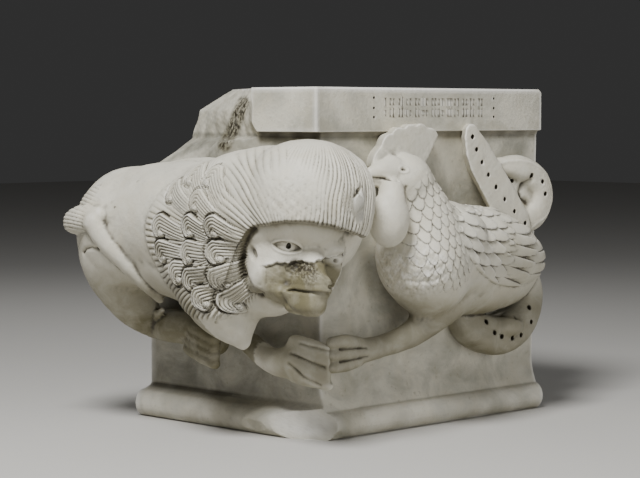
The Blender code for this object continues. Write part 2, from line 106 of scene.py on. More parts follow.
def addBall(bm, where, centre, radii, tilt=0.0, square=2.0, fine=4):
    made = bmesh.ops.create_icosphere(bm, subdivisions=fine, radius=1.0)
    if square != 2.0:
        for vert in made["verts"]:
            vert.co = vert.co / sum(abs(c) ** square for c in vert.co) ** (1 / square)
    turn = Matrix.Rotation(math.radians(-tilt), 4, "Y")
    size = Matrix.Diagonal((radii[0] * mm, radii[1] * mm, radii[2] * mm, 1.0))
    shift = Matrix.Translation(Vector(centre) * mm)
    bmesh.ops.transform(bm, matrix=where @ shift @ turn @ size, verts=made["verts"])
    return made["verts"]


def smoothStations(stations, steps):
    data = np.array(stations, dtype=float)
    data = np.vstack([2 * data[0] - data[1], data, 2 * data[-1] - data[-2]])
    rows = []
    for i in range(1, len(data) - 2):
        a, b, c, d = data[i - 1], data[i], data[i + 1], data[i + 2]
        for step in range(steps):
            t = step / steps
            rows.append(0.5 * (2 * b + (c - a) * t + (2 * a - 5 * b + 4 * c - d) * t * t
                               + (3 * b - a - 3 * c + d) * t ** 3))
    rows.append(data[-2])
    return np.array(rows)


def closeRings(bm, rings):
    count = len(rings[0])
    for low, high in zip(rings, rings[1:]):
        for k in range(count):
            bm.faces.new((low[k], low[(k + 1) % count], high[(k + 1) % count], high[k]))
    bm.faces.new(list(reversed(rings[0])))
    bm.faces.new(rings[-1])


def addLimb(bm, where, stations, flat=1.0, sides=24, square=2.0):
    # a closed tube through (along, out, up, radius); flat scales its depth, square its section
    rows = smoothStations(stations, 9)
    rows[:, 3] = np.maximum(rows[:, 3], 0.8)
    tangents = np.gradient(rows[:, :3], axis=0)
    tangents /= np.linalg.norm(tangents, axis=1)[:, None]
    caps = [(-0.98, 0.2), (-0.87, 0.5), (-0.6, 0.8), (-0.3, 0.95)]
    plan = [(0, shift, scale) for shift, scale in caps]
    plan += [(i, 0.0, 1.0) for i in range(len(rows))]
    plan += [(len(rows) - 1, -shift, scale) for shift, scale in reversed(caps)]
    rings = []
    for index, shift, scale in plan:
        tangent = tangents[index]
        radius = rows[index, 3]
        centre = rows[index, :3] + tangent * shift * radius * min(flat, 1.0)
        outward = np.array((0.0, 1.0, 0.0)) - tangent * tangent[1]
        if np.linalg.norm(outward) < 0.2:
            outward = np.array((0.0, 0.0, 1.0)) - tangent * tangent[2]
        outward /= np.linalg.norm(outward)
        side = np.cross(tangent, outward)
        ring = []
        for k in range(sides):
            angle = 2 * math.pi * k / sides
            c = math.copysign(abs(math.cos(angle)) ** (2 / square), math.cos(angle))
            s = math.copysign(abs(math.sin(angle)) ** (2 / square), math.sin(angle))
            ring.append(bm.verts.new(place(where, centre + radius * scale * (side * c + outward * s * flat))))
        rings.append(ring)
    closeRings(bm, rings)


def addPlate(bm, where, outline, inner, outer, lean):
    low = [bm.verts.new(place(where, (a + lean, inner, u))) for a, u in outline]
    high = [bm.verts.new(place(where, (a, outer, u))) for a, u in outline]
    closeRings(bm, [low, high])


def addParts(bm, where, parts):
    # a list of stations is a limb, a tuple holds the centre, the radii and what else a ball takes
    for part in parts:
        if isinstance(part, list):
            addLimb(bm, where, part)
        else:
            addBall(bm, where, *part)


def toObject(bm, name):
    bmesh.ops.recalc_face_normals(bm, faces=bm.faces)
    mesh = bpy.data.meshes.new(name)
    bm.to_mesh(mesh)
    bm.free()
    piece = bpy.data.objects.new(name, mesh)
    bpy.context.scene.collection.objects.link(piece)
    return piece


def applyModifiers(piece):
    graph = bpy.context.evaluated_depsgraph_get()
    mesh = bpy.data.meshes.new_from_object(piece.evaluated_get(graph))
    piece.modifiers.clear()
    piece.data = mesh
    return piece


def combine(piece, other, operation):
    modifier = piece.modifiers.new(operation, "BOOLEAN")
    modifier.operation = operation
    modifier.solver = "EXACT"
    modifier.object = other
    applyModifiers(piece)
    bpy.data.objects.remove(other, do_unlink=True)
    return piece


def oneSkin(bm, name, voxel, rounds):
    # everything in the mesh becomes one skin that flows together
    piece = toObject(bm, name)
    remesh = piece.modifiers.new("merge", "REMESH")
    remesh.mode = "VOXEL"
    remesh.voxel_size = voxel * mm
    if rounds:
        smooth = piece.modifiers.new("blend", "SMOOTH")
        smooth.factor = 0.5
        smooth.iterations = rounds
    return applyModifiers(piece)


def readPoints(mesh):
    points = np.empty(len(mesh.vertices) * 3)
    mesh.vertices.foreach_get("co", points)
    return points.reshape(-1, 3)


def readNormals(mesh):
    normals = np.empty(len(mesh.vertices) * 3)
    mesh.vertex_normals.foreach_get("vector", normals)
    return normals.reshape(-1, 3)


def inFrame(points, where):
    inverse = np.array(where.inverted())
    return ((points @ inverse[:3, :3].T + inverse[:3, 3]) / mm).T


def meshEdges(mesh):
    edges = np.empty(len(mesh.edges) * 2, dtype=np.int64)
    mesh.edges.foreach_get("vertices", edges)
    return edges.reshape(-1, 2).T


def meanOfNeighbours(points, first, second):
    count = len(points)
    degree = np.bincount(first, minlength=count) + np.bincount(second, minlength=count)
    total = np.empty_like(points)
    for axis in range(3):
        total[:, axis] = np.bincount(first, weights=points[second, axis], minlength=count)
        total[:, axis] += np.bincount(second, weights=points[first, axis], minlength=count)
    return total / np.maximum(degree, 1)[:, None]


def relax(mesh, points, weight, rounds):
    # smooth the surface where the weight is above 0
    first, second = meshEdges(mesh)
    share = 0.6 * climb(weight)[:, None]
    for step in range(rounds):
        points = points + share * (meanOfNeighbours(points, first, second) - points)
    return points


def setPoints(mesh, points):
    mesh.vertices.foreach_set("co", points.ravel())
    mesh.update()
    return readNormals(mesh)


def raisePoints(mesh, points, normals, lift):
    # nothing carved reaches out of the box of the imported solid
    setPoints(mesh, np.clip(points + normals * (lift * mm)[:, None], cadBox[0], cadBox[1]))


def refine(piece, wanted):
    # one more cut of every face whose middle lies where the carving is fine
    bm = bmesh.new()
    bm.from_mesh(piece.data)
    middles = np.array([face.calc_center_median() for face in bm.faces])
    chosen = wanted(middles)
    bm.faces.ensure_lookup_table()
    edges = {edge for index in np.nonzero(chosen)[0] for edge in bm.faces[index].edges}
    bmesh.ops.subdivide_edges(bm, edges=list(edges), cuts=1, use_grid_fill=True)
    bmesh.ops.triangulate(bm, faces=[face for face in bm.faces if len(face.verts) > 4])
    bm.to_mesh(piece.data)
    bm.free()


def thinOut(piece, goal):
    count = sum(len(face.vertices) - 2 for face in piece.data.polygons)
    if count > goal:
        decimate = piece.modifiers.new("spare", "DECIMATE")
        decimate.ratio = goal / count
        applyModifiers(piece)
    print(piece.name, "triangles", count, "->", sum(len(face.vertices) - 2 for face in piece.data.polygons))


def climb(value, width=1.0):
    # from 0 up to 1 over this width
    return np.clip(value / width, 0, 1)


def softDisc(a, b, centre, radii, turn=0.0, edge=0.15):
    u, v = rotated(a - centre[0], b - centre[1], turn)
    return climb(1 - np.sqrt((u / radii[0]) ** 2 + (v / radii[1]) ** 2), edge)


def rotated(a, b, degrees):
    c, s = math.cos(math.radians(degrees)), math.sin(math.radians(degrees))
    return a * c + b * s, -a * s + b * c


def rough(a, b, scale):
    wave = np.sin(a * 0.21 + 1.3 * np.sin(b * 0.17)) + 0.6 * np.sin(b * 0.33 + a * 0.11 + 2.0)
    wave = wave + 0.35 * np.sin(a * 0.63 - b * 0.41) + 0.25 * np.sin(a * 0.94 + b * 0.77 + 1.0)
    return wave * scale


def grain(a, b, c, size):
    # uneven stone at one size in millimetres, between about -1 and 1
    k = 2 * math.pi / size
    wave = np.sin(k * a + 1.7 * np.sin(0.61 * k * b + 0.3)) * np.cos(0.83 * k * c + 0.9 * np.sin(0.52 * k * a))
    wave += 0.7 * np.sin(1.31 * k * b + 1.4 * np.sin(0.74 * k * c) + 1.1) * np.cos(1.13 * k * a + 2.0)
    wave += 0.5 * np.sin(2.17 * k * (a + c) + 1.2 * np.sin(1.9 * k * b)) * np.cos(1.87 * k * (b - c))
    return wave / 1.6


def lineDistance(a, b, path):
    best = np.full(a.shape, 1e3)
    for (x0, y0), (x1, y1) in zip(path, path[1:]):
        dx, dy = x1 - x0, y1 - y0
        t = climb((a - x0) * dx + (b - y0) * dy, dx * dx + dy * dy)
        best = np.minimum(best, np.hypot(a - x0 - t * dx, b - y0 - t * dy))
    return best


def groove(a, b, path, width, depth):
    return -depth * np.exp(-(lineDistance(a, b, path) / (0.6 * width)) ** 2)


def cutLines(lift, share, a, b, lines):
    for path, width, depth in lines:
        lift += share * groove(a, b, path, width, depth)


def dimple(a, b, centre, radius, edge):
    return climb(radius - np.hypot(a - centre[0], b - centre[1]), edge)


def strands(phase):
    # rounded strands with a narrow groove between them, 0 in the groove and 1 on the crest
    return np.abs(np.sin(np.pi * phase)) ** 0.6


print("marble")

hexColours = {
    "lightMarble": "D8D4C5",
    "greyMarble": "A9A79A",
    "warmMarble": "CDC3AB",
    "brownPatinaAndShade": "7F795D",
    "greyFilmAndShade": "7D7C71",
    "darkDirtAndShade": "3B3528",
    "whiteBruise": "ECEAE4",
    "paleFloor": "C6C4BF",
}


def linearColour(name):
    text = hexColours[name]
    values = [int(text[k:k + 2], 16) / 255 for k in (0, 2, 4)]
    return tuple(v / 12.92 if v <= 0.04045 else ((v + 0.055) / 1.055) ** 2.4 for v in values) + (1.0,)


def addNode(tree, kind, settings=None, links=None):
    node = tree.nodes.new(kind)
    for key, value in (settings or {}).items():
        if isinstance(key, str) and hasattr(node, key) and key not in node.inputs:
            setattr(node, key, value)
        else:
            node.inputs[key].default_value = value
    for key, source in (links or {}).items():
        tree.links.new(source, node.inputs[key])
    return node


marbleSettings = {
    "cloudSize": 55.0,      # soft grey clouds in the stone
    "veinSize": 26.0,
    "speckSize": 4.5,       # pits and dark specks of the weathered skin
    "crystalSize": 1.6,     # saccharoidal grain, drawn coarser than its 0.6 mm so that it shows
    "roughness": 0.52,
}


def noiseNode(tree, coords, size, detail, distortion=0.0):
    return addNode(tree, "ShaderNodeTexNoise",
                   {"Scale": 1.0 / (size * mm), "Detail": detail, "Roughness": 0.6, "Distortion": distortion},
                   {"Vector": coords}).outputs["Fac"]


def ramp(tree, source, low, high):
    node = addNode(tree, "ShaderNodeMapRange", {"From Min": low, "From Max": high}, {"Value": source})
    return node.outputs[0]


def mixColour(tree, share, first, second):
    node = tree.nodes.new("ShaderNodeMix")
    node.data_type = "RGBA"
    tree.links.new(share, node.inputs["Factor"])
    for socket, value in ((node.inputs[6], first), (node.inputs[7], second)):
        if isinstance(value, str):
            socket.default_value = linearColour(value)
        else:
            tree.links.new(value, socket)
    return node.outputs[2]


def times(tree, first, second):
    node = tree.nodes.new("ShaderNodeMath")
    node.operation = "MULTIPLY"
    for socket, value in zip(node.inputs, (first, second)):
        if isinstance(value, (int, float)):
            socket.default_value = value
        else:
            tree.links.new(value, socket)
    return node.outputs[0]


def weatheredMarble(name, greyShare, brown):
    # white marble cut with point and chisel, smoothed, then outdoors for centuries:
    # a dull warm skin, grey clouds, brown dirt in the hollows and pale bruised edges;
    # the dirt, patina and film layers also carry painted shade in creases, holes and under things
    s = marbleSettings
    material = bpy.data.materials.new(name)
    material.use_nodes = True
    tree = material.node_tree
    shader = tree.nodes["Principled BSDF"]
    shader.inputs["Roughness"].default_value = s["roughness"]
    shader.inputs["IOR"].default_value = 1.49
    shader.inputs["Specular IOR Level"].default_value = 0.35
    coords = addNode(tree, "ShaderNodeTexCoord").outputs["Object"]
    clouds = noiseNode(tree, coords, s["cloudSize"], 5, 0.6)
    veins = noiseNode(tree, coords, s["veinSize"], 8, 0.7)
    specks = noiseNode(tree, coords, s["speckSize"], 4)
    crystals = noiseNode(tree, coords, s["crystalSize"], 3)
    tint = {name: addNode(tree, "ShaderNodeAttribute", {"attribute_name": name}).outputs["Fac"]
            for name in ("dirtAndShade", "patinaAndShade", "bruise", "filmAndShade", "pitting")}
    layers = [
        (times(tree, ramp(tree, clouds, 0.42, 0.66), greyShare), "greyMarble"),
        (times(tree, ramp(tree, veins, 0.44, 0.74), 0.40), "warmMarble"),
        (times(tree, tint["filmAndShade"], ramp(tree, clouds, 0.20, 0.70)), "greyFilmAndShade"),
        (times(tree, tint["patinaAndShade"], ramp(tree, veins, -0.1, 0.55)), "brownPatinaAndShade"),
        (times(tree, ramp(tree, specks, 0.60, 0.74), brown), "brownPatinaAndShade"),
        (tint["bruise"], "whiteBruise"),
        (tint["dirtAndShade"], "darkDirtAndShade"),
        (times(tree, tint["pitting"], ramp(tree, specks, 0.42, 0.56)), "darkDirtAndShade"),
    ]
    colour = "lightMarble"
    for share, over in layers:
        colour = mixColour(tree, share, colour, over)
    tree.links.new(colour, shader.inputs["Base Color"])
    fine = addNode(tree, "ShaderNodeBump", {"Strength": 0.35, "Distance": 0.25 * mm}, {"Height": crystals})
    pits = addNode(tree, "ShaderNodeBump", {"Strength": 0.32, "Distance": 0.6 * mm},
                   {"Height": ramp(tree, specks, 0.30, 0.60), "Normal": fine.outputs[0]})
    tree.links.new(pits.outputs[0], shader.inputs["Normal"])
    return material


carvedMarble = weatheredMarble("carvedMarbleWeathered", 0.30, 0.16)
dressedMarble = weatheredMarble("dressedMarbleWeathered", 0.85, 0.38)


def hollowness(mesh, points, normals, rounds):
    # how far each point lies under the local mean of the surface, in millimetres
    first, second = meshEdges(mesh)
    mean = points
    for step in range(rounds):
        mean = 0.5 * mean + 0.5 * meanOfNeighbours(mean, first, second)
    return ((mean - points) * normals).sum(axis=1) / mm


def paintWeatherAndShade(piece, marksOf, shadedHoles=(), reach=26):
    # dirt, stain, film, bruises and pits, with painted shade in hollows, holes, grooves and on downward faces:
    # from the shape, and from the marks seen on this piece
    mesh = piece.data
    points = readPoints(mesh)
    normals = readNormals(mesh)
    marks = marksOf(points, normals)
    fine = hollowness(mesh, points, normals, 3)
    broad = hollowness(mesh, points, normals, reach)
    a, b, c = points.T / mm
    patchy = 0.5 + 0.5 * grain(a, b, c, 37)
    # dark dirt and painted shade: darker in fine creases and in broad hollows
    dirtAndShade = np.clip(fine * 3.0 - 0.10, 0, 0.8) * marks.get("clean", 1.0) + np.clip(broad * 0.5 - 0.12, 0, 0.6)
    bruise = np.clip(-fine * 1.2 - 0.12, 0, 0.5) + np.clip(-broad * 0.16 - 0.1, 0, 0.3)
    bruise = bruise + marks.get("bruise", 0.0)
    # downward faces browner: patina and painted shade under things
    under = climb(-normals[:, 2] - 0.15)
    patinaAndShade = marks["patinaAndShade"] + 0.45 * under + np.clip(broad * 0.3, 0, 0.5) * patchy
    dirtAndShade = (dirtAndShade + marks.get("dirtAndShade", 0.0)) * (0.65 + 0.35 * patchy)
    # painted shade: the inside of drilled holes painted black
    for middle, radius, axis in shadedHoles:   # the inside of drilled holes
        away = points - np.array(middle)
        sunk = away @ np.array(axis) / mm
        aside = np.linalg.norm(away - (sunk * mm)[:, None] * np.array(axis), axis=1) / mm
        dirtAndShade = np.where((aside < radius + 0.15) & (sunk > 0.25) & (sunk < 12), 1.0, dirtAndShade)
    none = np.zeros(len(points))
    tints = {"dirtAndShade": dirtAndShade, "filmAndShade": marks.get("filmAndShade", none), "patinaAndShade": patinaAndShade,
             "pitting": marks.get("pitting", none), "bruise": bruise * (1 - climb(patinaAndShade))}
    for name, values in tints.items():
        layer = mesh.attributes.new(name, "FLOAT", "POINT")
        layer.data.foreach_set("value", climb(values).astype(np.float32))


print("lion")

lionSettings = {
    "massVoxel": 4.0,
    "massRounds": 14,
    "voxel": 1.55,
    "rounds": 4,
    "strandPitch": 3.3,       # combed hair over the head
    "strandDepth": 2.5,
    "tuftPitch": 3.3,
    "tuftArch": 18.0,         # height of a lock over the eye of its curl
    "tuftTip": 9.5,           # how far its strands wrap round the eye
    "tuftHook": 5.5,          # radius of the small scroll below the eye
    "tuftRise": 3.0,
    "tuftDepth": 1.7,
    "maneCentre": (-8, 191),  # the locks turn about this point of the lion's side
    "capTilt": 9.0,
    "triangles": 196000,
}


def lionMasses(bm):
    addParts(bm, lionSide, [
        ((208, 50, 199), (60, 60, 63)),
        [(205, 46, 203, 58), (165, 44, 207, 60), (120, 46, 207, 61), (75, 48, 205, 60)],
        [(206, 42, 178, 42), (165, 44, 181, 47), (125, 48, 176, 47), (90, 52, 166, 44)],
        ((140, 12, 240), (100, 24, 32)),
        [(222, 66, 176, 37), (226, 54, 152, 34), (224, 36, 120, 25), (226, 16, 99, 15)],
        [(80, 62, 172, 46), (62, 64, 140, 38), (54, 58, 118, 29), (49, 55, 105, 19), (46, 52, 96, 9)],
        ((30, 42, 154), (46, 40, 32), 12),
        ((76, 54, 208), (66, 54, 62), 10),
        [(78, 50, 214, 54), (30, 56, 226, 56), (-20, 46, 230, 52)],
        ((52, 60, 184), (52, 50, 48), 16),
    ])
    addParts(bm, cornerView, [
        ((-2, 6, 216), (50, 40, 58)),
        ((-30, 32, 200), (44, 42, 48)),
        [(-96, 0, 226, 42), (-70, 16, 234, 44), (-40, 30, 240, 46)],
    ])


def lionLimbs(bm):
    addParts(bm, lionSide, [
        [(236, 2, 97, 15), (200, 10, 98, 17), (165, 13, 98, 17), (140, 14, 93, 16), (126, 14, 87, 13)],
        [(205, 26, 108, 4), (192, 28, 116, 3)],
    ])
    for toe in range(4):
        level = 105 - 8 * toe
        addLimb(bm, lionSide, [(160, 20, level - 2, 7), (138, 27, level - 6, 7), (114, 28, level - 13, 6)])
    addLimb(bm, lionSide, [(158, 60, 130, 4), (162, 76, 148, 8), (177, 92, 172, 10), (191, 103, 190, 10.5),
                           (202, 108, 208, 12)], flat=0.9)
    addLimb(bm, lionSide, [(196, 106, 214, 9), (220, 107, 210, 13), (239, 104, 206, 12), (252, 98, 204, 6)],
            flat=0.8)
    addLimb(bm, lionSide, [(84, 6, 88, 11), (50, 16, 78, 12), (24, 20, 76, 15), (8, 20, 80, 17)])
    for toe in range(4):
        level = 98 - 10.5 * toe
        addLimb(bm, cornerView, [(-20, 10, level - 1, 8), (-6, 24, level - 3, 8), (11, 29, level - 7, 6.5)])
    addParts(bm, lionHead, [
        ((0, -38, -1), (47, 39, 37), 0.0, 2.7),
        ((-25, -30, -24), (21, 27, 23), 0.0, 2.3),
        ((24, -32, -22), (18, 26, 20)),
        [(0, -20, 4, 17), (-2, 0, -10, 16), (-5, 16, -22, 14)],
        ((-6, 12, -28), (17, 26, 14), 0.0, 2.6),
        ((-5, 7, -46), (14, 25, 12), 0.0, 3.0),
        ((-12, -18, -39), (20, 24, 11)),
    ])
    lionCap(bm)


def fringeLevel(along):
    # lower edge of the hair over the face, seen from the corner
    return 218 - 0.0042 * (along + 18) ** 2 - 0.05 * np.maximum(0, -56 - along) ** 2


def lionCap(bm):
    verts = addBall(bm, cornerView, (-8, 48, 232), (61, 59, 58.5), square=2.2, fine=5)
    toCorner = cornerView.inverted()
    for vert in verts:
        along, out, up = (toCorner @ vert.co) / mm
        fringe = float(fringeLevel(along))
        if up < fringe:
            vert.co = cornerView @ (Vector((along, out, fringe + (up - fringe) * 0.12)) * mm)


def maneTufts():
    # eyes of the curls on the lion's side, outer row first; the upper ones are worn
    rows = [(101, (202, 178)), (92, (235,)), (77, (159,)), (66, (252,)), (58, (204, 179, 154)),
            (48, (228, 137)), (36, (251,)), (25, (205, 181, 156, 135))]
    centre = lionSettings["maneCentre"]
    tufts = []
    for along, levels in rows:
        for up in levels:
            turn = 0.72 * math.degrees(math.atan2(up - centre[1], along - centre[0]))
            tufts.append((along, up, turn, 0.7 if up > 220 else 1.0))
    return tufts


def tuftRelief(along, up):
    # each lock runs back from the face, drops at its far end and hooks into a small curl
    s = lionSettings
    arch, tip, hook, pitch = s["tuftArch"], s["tuftTip"], s["tuftHook"], s["tuftPitch"]
    around = np.arctan2(up - s["maneCentre"][1], along - s["maneCentre"][0]) * 72 / pitch
    plain = 1 - 0.6 * climb(up - 212, 15)
    lift = 0.6 + strands(around) * s["tuftDepth"] * 0.8 * plain     # plain strands show between the locks
    gap = (1 - strands(around)) * plain
    for place, level, turn, share in maneTufts():
        u, v = rotated(along - place, up - level, turn)
        v = v - 0.16 * np.minimum(u, 0)                     # strands draw together toward the face
        angle = np.arctan2(v, u)
        wrap = climb(np.where(v > 0, angle / (math.pi / 2), 0)) ** 0.8
        reach = np.where((u < 0) & (v > 0), v, np.hypot(u, v))
        limit = np.where(v > 0, tip + (arch - tip) * wrap, hook + (tip - hook) * climb(1 + angle / 1.8))
        limit = limit * np.where(u < 0, 1 + 0.006 * u, 1.0)
        inside = (reach < limit) & (u > -38) & ((v > 0) | (u > -hook))
        part = climb(reach / limit)
        count = arch / pitch
        strand = strands(part * count - np.where(v > 0, 0.0, angle / (2 * math.pi)) + 0.5)
        body = s["tuftRise"] * (0.35 + 0.65 * part) * climb(limit - reach, 1.2 + 5 * (1 - share))
        root = climb(u + 38, 14)
        hair = strand * s["tuftDepth"] * climb(limit - reach, 0.8)
        eye = np.hypot(u, v + 1.0)
        scroll = 1.6 * np.exp(-(eye / 2.3) ** 2) - 1.3 * np.exp(-((eye - 4.0) / 0.9) ** 2) * (u > -4)
        lift = np.where(inside, root * share * (body + hair + scroll) + (1 - root) * lift, lift)
        gap = np.where(inside, root * share * (1 - strand) + (1 - root) * gap, gap)
        # the strip under each lock is sunk, and painted shade is laid in it through the groove share
        under = (reach >= limit) & (reach < limit + 2.2) & (u > -12)
        lift = np.where(under, lift - 1.4 * share, lift)
        gap = np.where(under, np.maximum(gap, 0.7 * share), gap)
    return lift, gap


def combedHair(along, out, up):
    s = lionSettings
    a, b = rotated(along + 8, up - 232, -s["capTilt"])
    azimuth = np.arctan2(a, np.maximum(out - 34, 1.0))
    meridian = azimuth * 60
    pivot = (-26, 186)
    radial = np.arctan2(-(along - pivot[0]), np.maximum(up - pivot[1], 0.01))
    start = np.arctan2(pivot[0] + 8, 55.0) * 60
    phase = np.where(along > pivot[0], meridian, start - radial * 44)
    phase = phase / s["strandPitch"] + 0.18 * np.sin(up * 0.11 + along * 0.05)
    phase = phase + 0.16 * np.sin(0.13 * up + 2.4 * np.floor(phase / 4))
    number = np.floor(phase)
    uneven = 0.70 + 0.30 * np.sin(2.4 * number) * np.cos(0.045 * up + number)   # no two strands alike
    clump = 0.8 * np.cos(phase * 2 * math.pi / 5.3 + 0.04 * up)                 # they lie in flat locks
    return strands(phase) * s["strandDepth"] * uneven + clump, (1 - strands(phase)) * (0.6 + 0.4 * uneven)


def stepLine(along):
    # edge of the broken part of the face, under the eye, seen from the corner
    return 177 + 0.09 * (along + 50) + 0.9 * np.sin(along * 0.31) + 0.4 * np.sin(along * 0.83)


def lionHair(points):
    # height of the carved hair in millimetres, and how deep in a groove each point lies, 0 to 1
    side, outSide, up = inFrame(points, lionSide)
    along, out, level = inFrame(points, cornerView)
    hair = (level > fringeLevel(along) - 1.0) & (out > 8) & (side < 34)
    worn = 1 - 0.94 * softDisc(along, level, (-24, 246), (46, 42), 0, 0.5)
    worn = worn * (0.9 + 0.1 * grain(along, level, out, 30)) * np.clip((288 - level) / 22, 0.08, 1)
    fade = climb(30 - side, 14) * climb(along + 96, 14)
    combed = hair * worn * fade * (1 - 0.5 * climb(-60 - along, 20))
    mane = softDisc(side, up, (55, 196), (72, 78), 16, 0.06) * (outSide > 34) * climb(side + 4, 8)
    mane = mane * (1 - climb(combed))
    combLift, combGap = combedHair(along, out, level)
    tuftLift, tuftGap = tuftRelief(side, up)
    tuftGap = tuftGap * (1 - 0.5 * climb(up - 215, 15))
    worn = hair * softDisc(along, level, (-22, 234), (42, 34), 0, 0.6)
    lift = combed * combLift + mane * tuftLift + worn * grain(along, level, out, 13) * 0.45
    return lift, combed * combGap + mane * tuftGap, mane


faceEdge = [(-57, 208), (-62, 201), (-66.5, 191), (-68, 176), (-66, 164), (-60, 154), (-50, 147)]


def carveLion(piece):
    mesh = piece.data
    points = readPoints(mesh)
    along, out, level = inFrame(points, cornerView)
    smooth = (out > 50) * climb(fringeLevel(along) - 1 - level, 4) * climb(level - 124, 6)
    points = relax(mesh, points, smooth * climb(along + 66, 6), 34)
    points = relax(mesh, points, softDisc(along, level, (-8, 80), (48, 32), 0, 0.3), 20)
    normals = setPoints(mesh, points)
    lift = np.zeros(len(points))
    side, outSide, up = inFrame(points, lionSide)
    along, out, level = inFrame(points, cornerView)
    seen = normals @ np.array((-rootHalf, -rootHalf, 0.0))

    # combed hair over the head, worn smooth on the crown, and curls of the mane down the neck
    hairLift, hairGrooveShade, mane = lionHair(points)
    lift += hairLift
    drilledGap = softDisc(along, level, (38, 243), (2.6, 6.5), -24, 0.5) * (out > 40)
    lift += -5.0 * drilledGap

    # the near eye: sunk socket, ball, lids and a drilled pupil
    face = (level < fringeLevel(along)) & (out > 40)
    u, v = rotated(along + 26.5, level - 193, -10)
    lid = 5.0 * climb(1 - (u / 14) ** 2) ** 0.8
    lift += face * -2.6 * climb(lid - np.abs(v), 1.3)
    lift += face * 1.9 * climb(1 - (u / 10) ** 2 - (v / 5) ** 2)
    rim = np.exp(-((np.abs(v) - lid - 1.3) / 1.2) ** 2) * climb(15 - np.abs(u), 3)
    lift += face * rim * np.where(v > 0, 1.5, 1.1)
    lift += face * -4.0 * dimple(along, level, (-25, 193.2), 2.5, 0.8)
    # far eye under its brow
    lift += face * 2.2 * softDisc(along, level, (15, 190), (14, 7), -14, 0.8)
    lift += face * -2.2 * dimple(along, level, (20, 178), 2.4, 1.2)
    cutLines(lift, face * climb(along - 4, 4), along, level,
             [([(10, 182), (20, 184.5), (30, 182)], 3.4, 1.8), ([(13, 174), (21, 173), (28, 175)], 2.4, 1.0)])
    # ear hollow, the strip of cheek before the mane and the undercut round the face
    lift += face * -3.5 * softDisc(along, level, (-58, 186), (4.2, 8.5), 18, 0.6)
    lift += face * 1.6 * softDisc(along, level, (-57, 165), (8, 20), -6, 0.9)
    lift += face * groove(along, level, [(-50, 174), (-49, 166), (-51, 158)], 2.6, 1.0)
    lift += (out > 30) * (side < 30) * groove(along, level, faceEdge, 5.0, 5.5)
    # broken cheek and bridge of the nose: a stepped edge under the eye, rough stone along it
    broken = climb(stepLine(along) - level, 0.9) * climb(level - 152, 8)
    broken = broken * climb(along + 50, 3) * climb(26 - along, 14)
    lift += face * broken * (-3.2 + 0.5 * grain(along, level, out, 15))
    chipped = softDisc(along, level, (-10, 172), (21, 11), -8, 0.5)
    lift += face * chipped * grain(along, level, out, 6.5) * 1.2
    # nostril, mouth and chin
    lift += face * -3.8 * dimple(along, level, (15.5, 157), 3.0, 1.4)
    cutLines(lift, face, along, level, [([(-25, 153.5), (-6, 152.5), (20, 150.5)], 2.4, 3.2),
                                        ([(-32, 150), (-26, 139), (-14, 131)], 3.0, 1.2)])
    # toes of the fore paw
    front = (level < 116) & (out > 4)
    cutLines(lift, front, along, level, [
        ([(-15, 98), (13, 92)], 2.8, 1.9), ([(-24, 88), (-14, 84), (8, 76)], 2.8, 1.9),
        ([(-26, 78), (-12, 66), (4, 59)], 2.8, 1.9), ([(15, 104), (15, 62)], 2.4, 1.6)])

    # tuft of the tail, fold of the thigh and the toes
    tuft = (outSide > 92) * climb(side - 204, 12) * climb(up - 196, 3)
    lift += tuft * strands((up - 0.08 * (side - 225) + 0.004 * (side - 225) ** 2) / 3.6) * 1.1
    lift += (outSide > 70) * groove(side, up, [(226, 176), (219, 180), (208, 182), (198, 181)], 3.0, 2.4)
    lift += grain(side, up, outSide, 24) * 0.22 * (1 - mane) + grain(side, up, outSide, 7) * 0.03
    lift = np.where(seen > -0.85, lift, 0)
    raisePoints(mesh, points, normals, lift)


def lionFineAreas(middles):
    side, outSide, up = inFrame(middles, lionSide)
    along, out, level = inFrame(middles, cornerView)
    mane = softDisc(side, up, (55, 196), (72, 80), 16, 0.05) * (outSide > 34)
    head = (out > 20) & (side < 20) & (level > 128)
    tuft = (outSide > 90) & (side > 200)
    return (mane > 0) | head | tuft


def trimBehind(piece):
    # cut off flat at the two built-in faces and a little behind the carved faces
    bm = bmesh.new()
    bm.from_mesh(piece.data)
    planes = [(Vector((0, blockDepth / 2 - 0.3, 0)) * mm, Vector((0, 1, 0))),
              (Vector((blockWidth / 2 - 4, 0, 0)) * mm, Vector((1, 0, 0)))]
    for point, normal in planes:
        geometry = bm.verts[:] + bm.edges[:] + bm.faces[:]
        cut = bmesh.ops.bisect_plane(bm, geom=geometry, plane_co=point, plane_no=normal, clear_outer=True)
        rim = [item for item in cut["geom_cut"] if isinstance(item, bmesh.types.BMEdge)]
        if rim:
            bmesh.ops.holes_fill(bm, edges=rim, sides=0)
    bmesh.ops.triangulate(bm, faces=[face for face in bm.faces if len(face.verts) > 4])
    bm.to_mesh(piece.data)
    bm.free()


def finishStone(piece, material):
    for polygon in piece.data.polygons:
        polygon.use_smooth = True
    piece.data.materials.clear()
    piece.data.materials.append(material)


def makeFigure(name, s, addMasses, addDetails, fineAreas, carve):
    # the masses flow together first, then the finer forms are joined to them and carved
    bm = bmesh.new()
    addMasses(bm)
    masses = oneSkin(bm, name + "Masses", s["massVoxel"], s["massRounds"])
    bm = bmesh.new()
    bm.from_mesh(masses.data)
    bpy.data.objects.remove(masses, do_unlink=True)
    addDetails(bm)
    piece = oneSkin(bm, name, s["voxel"], s["rounds"])
    trimBehind(piece)
    refine(piece, fineAreas)
    carve(piece)
    thinOut(piece, s["triangles"])
    return piece


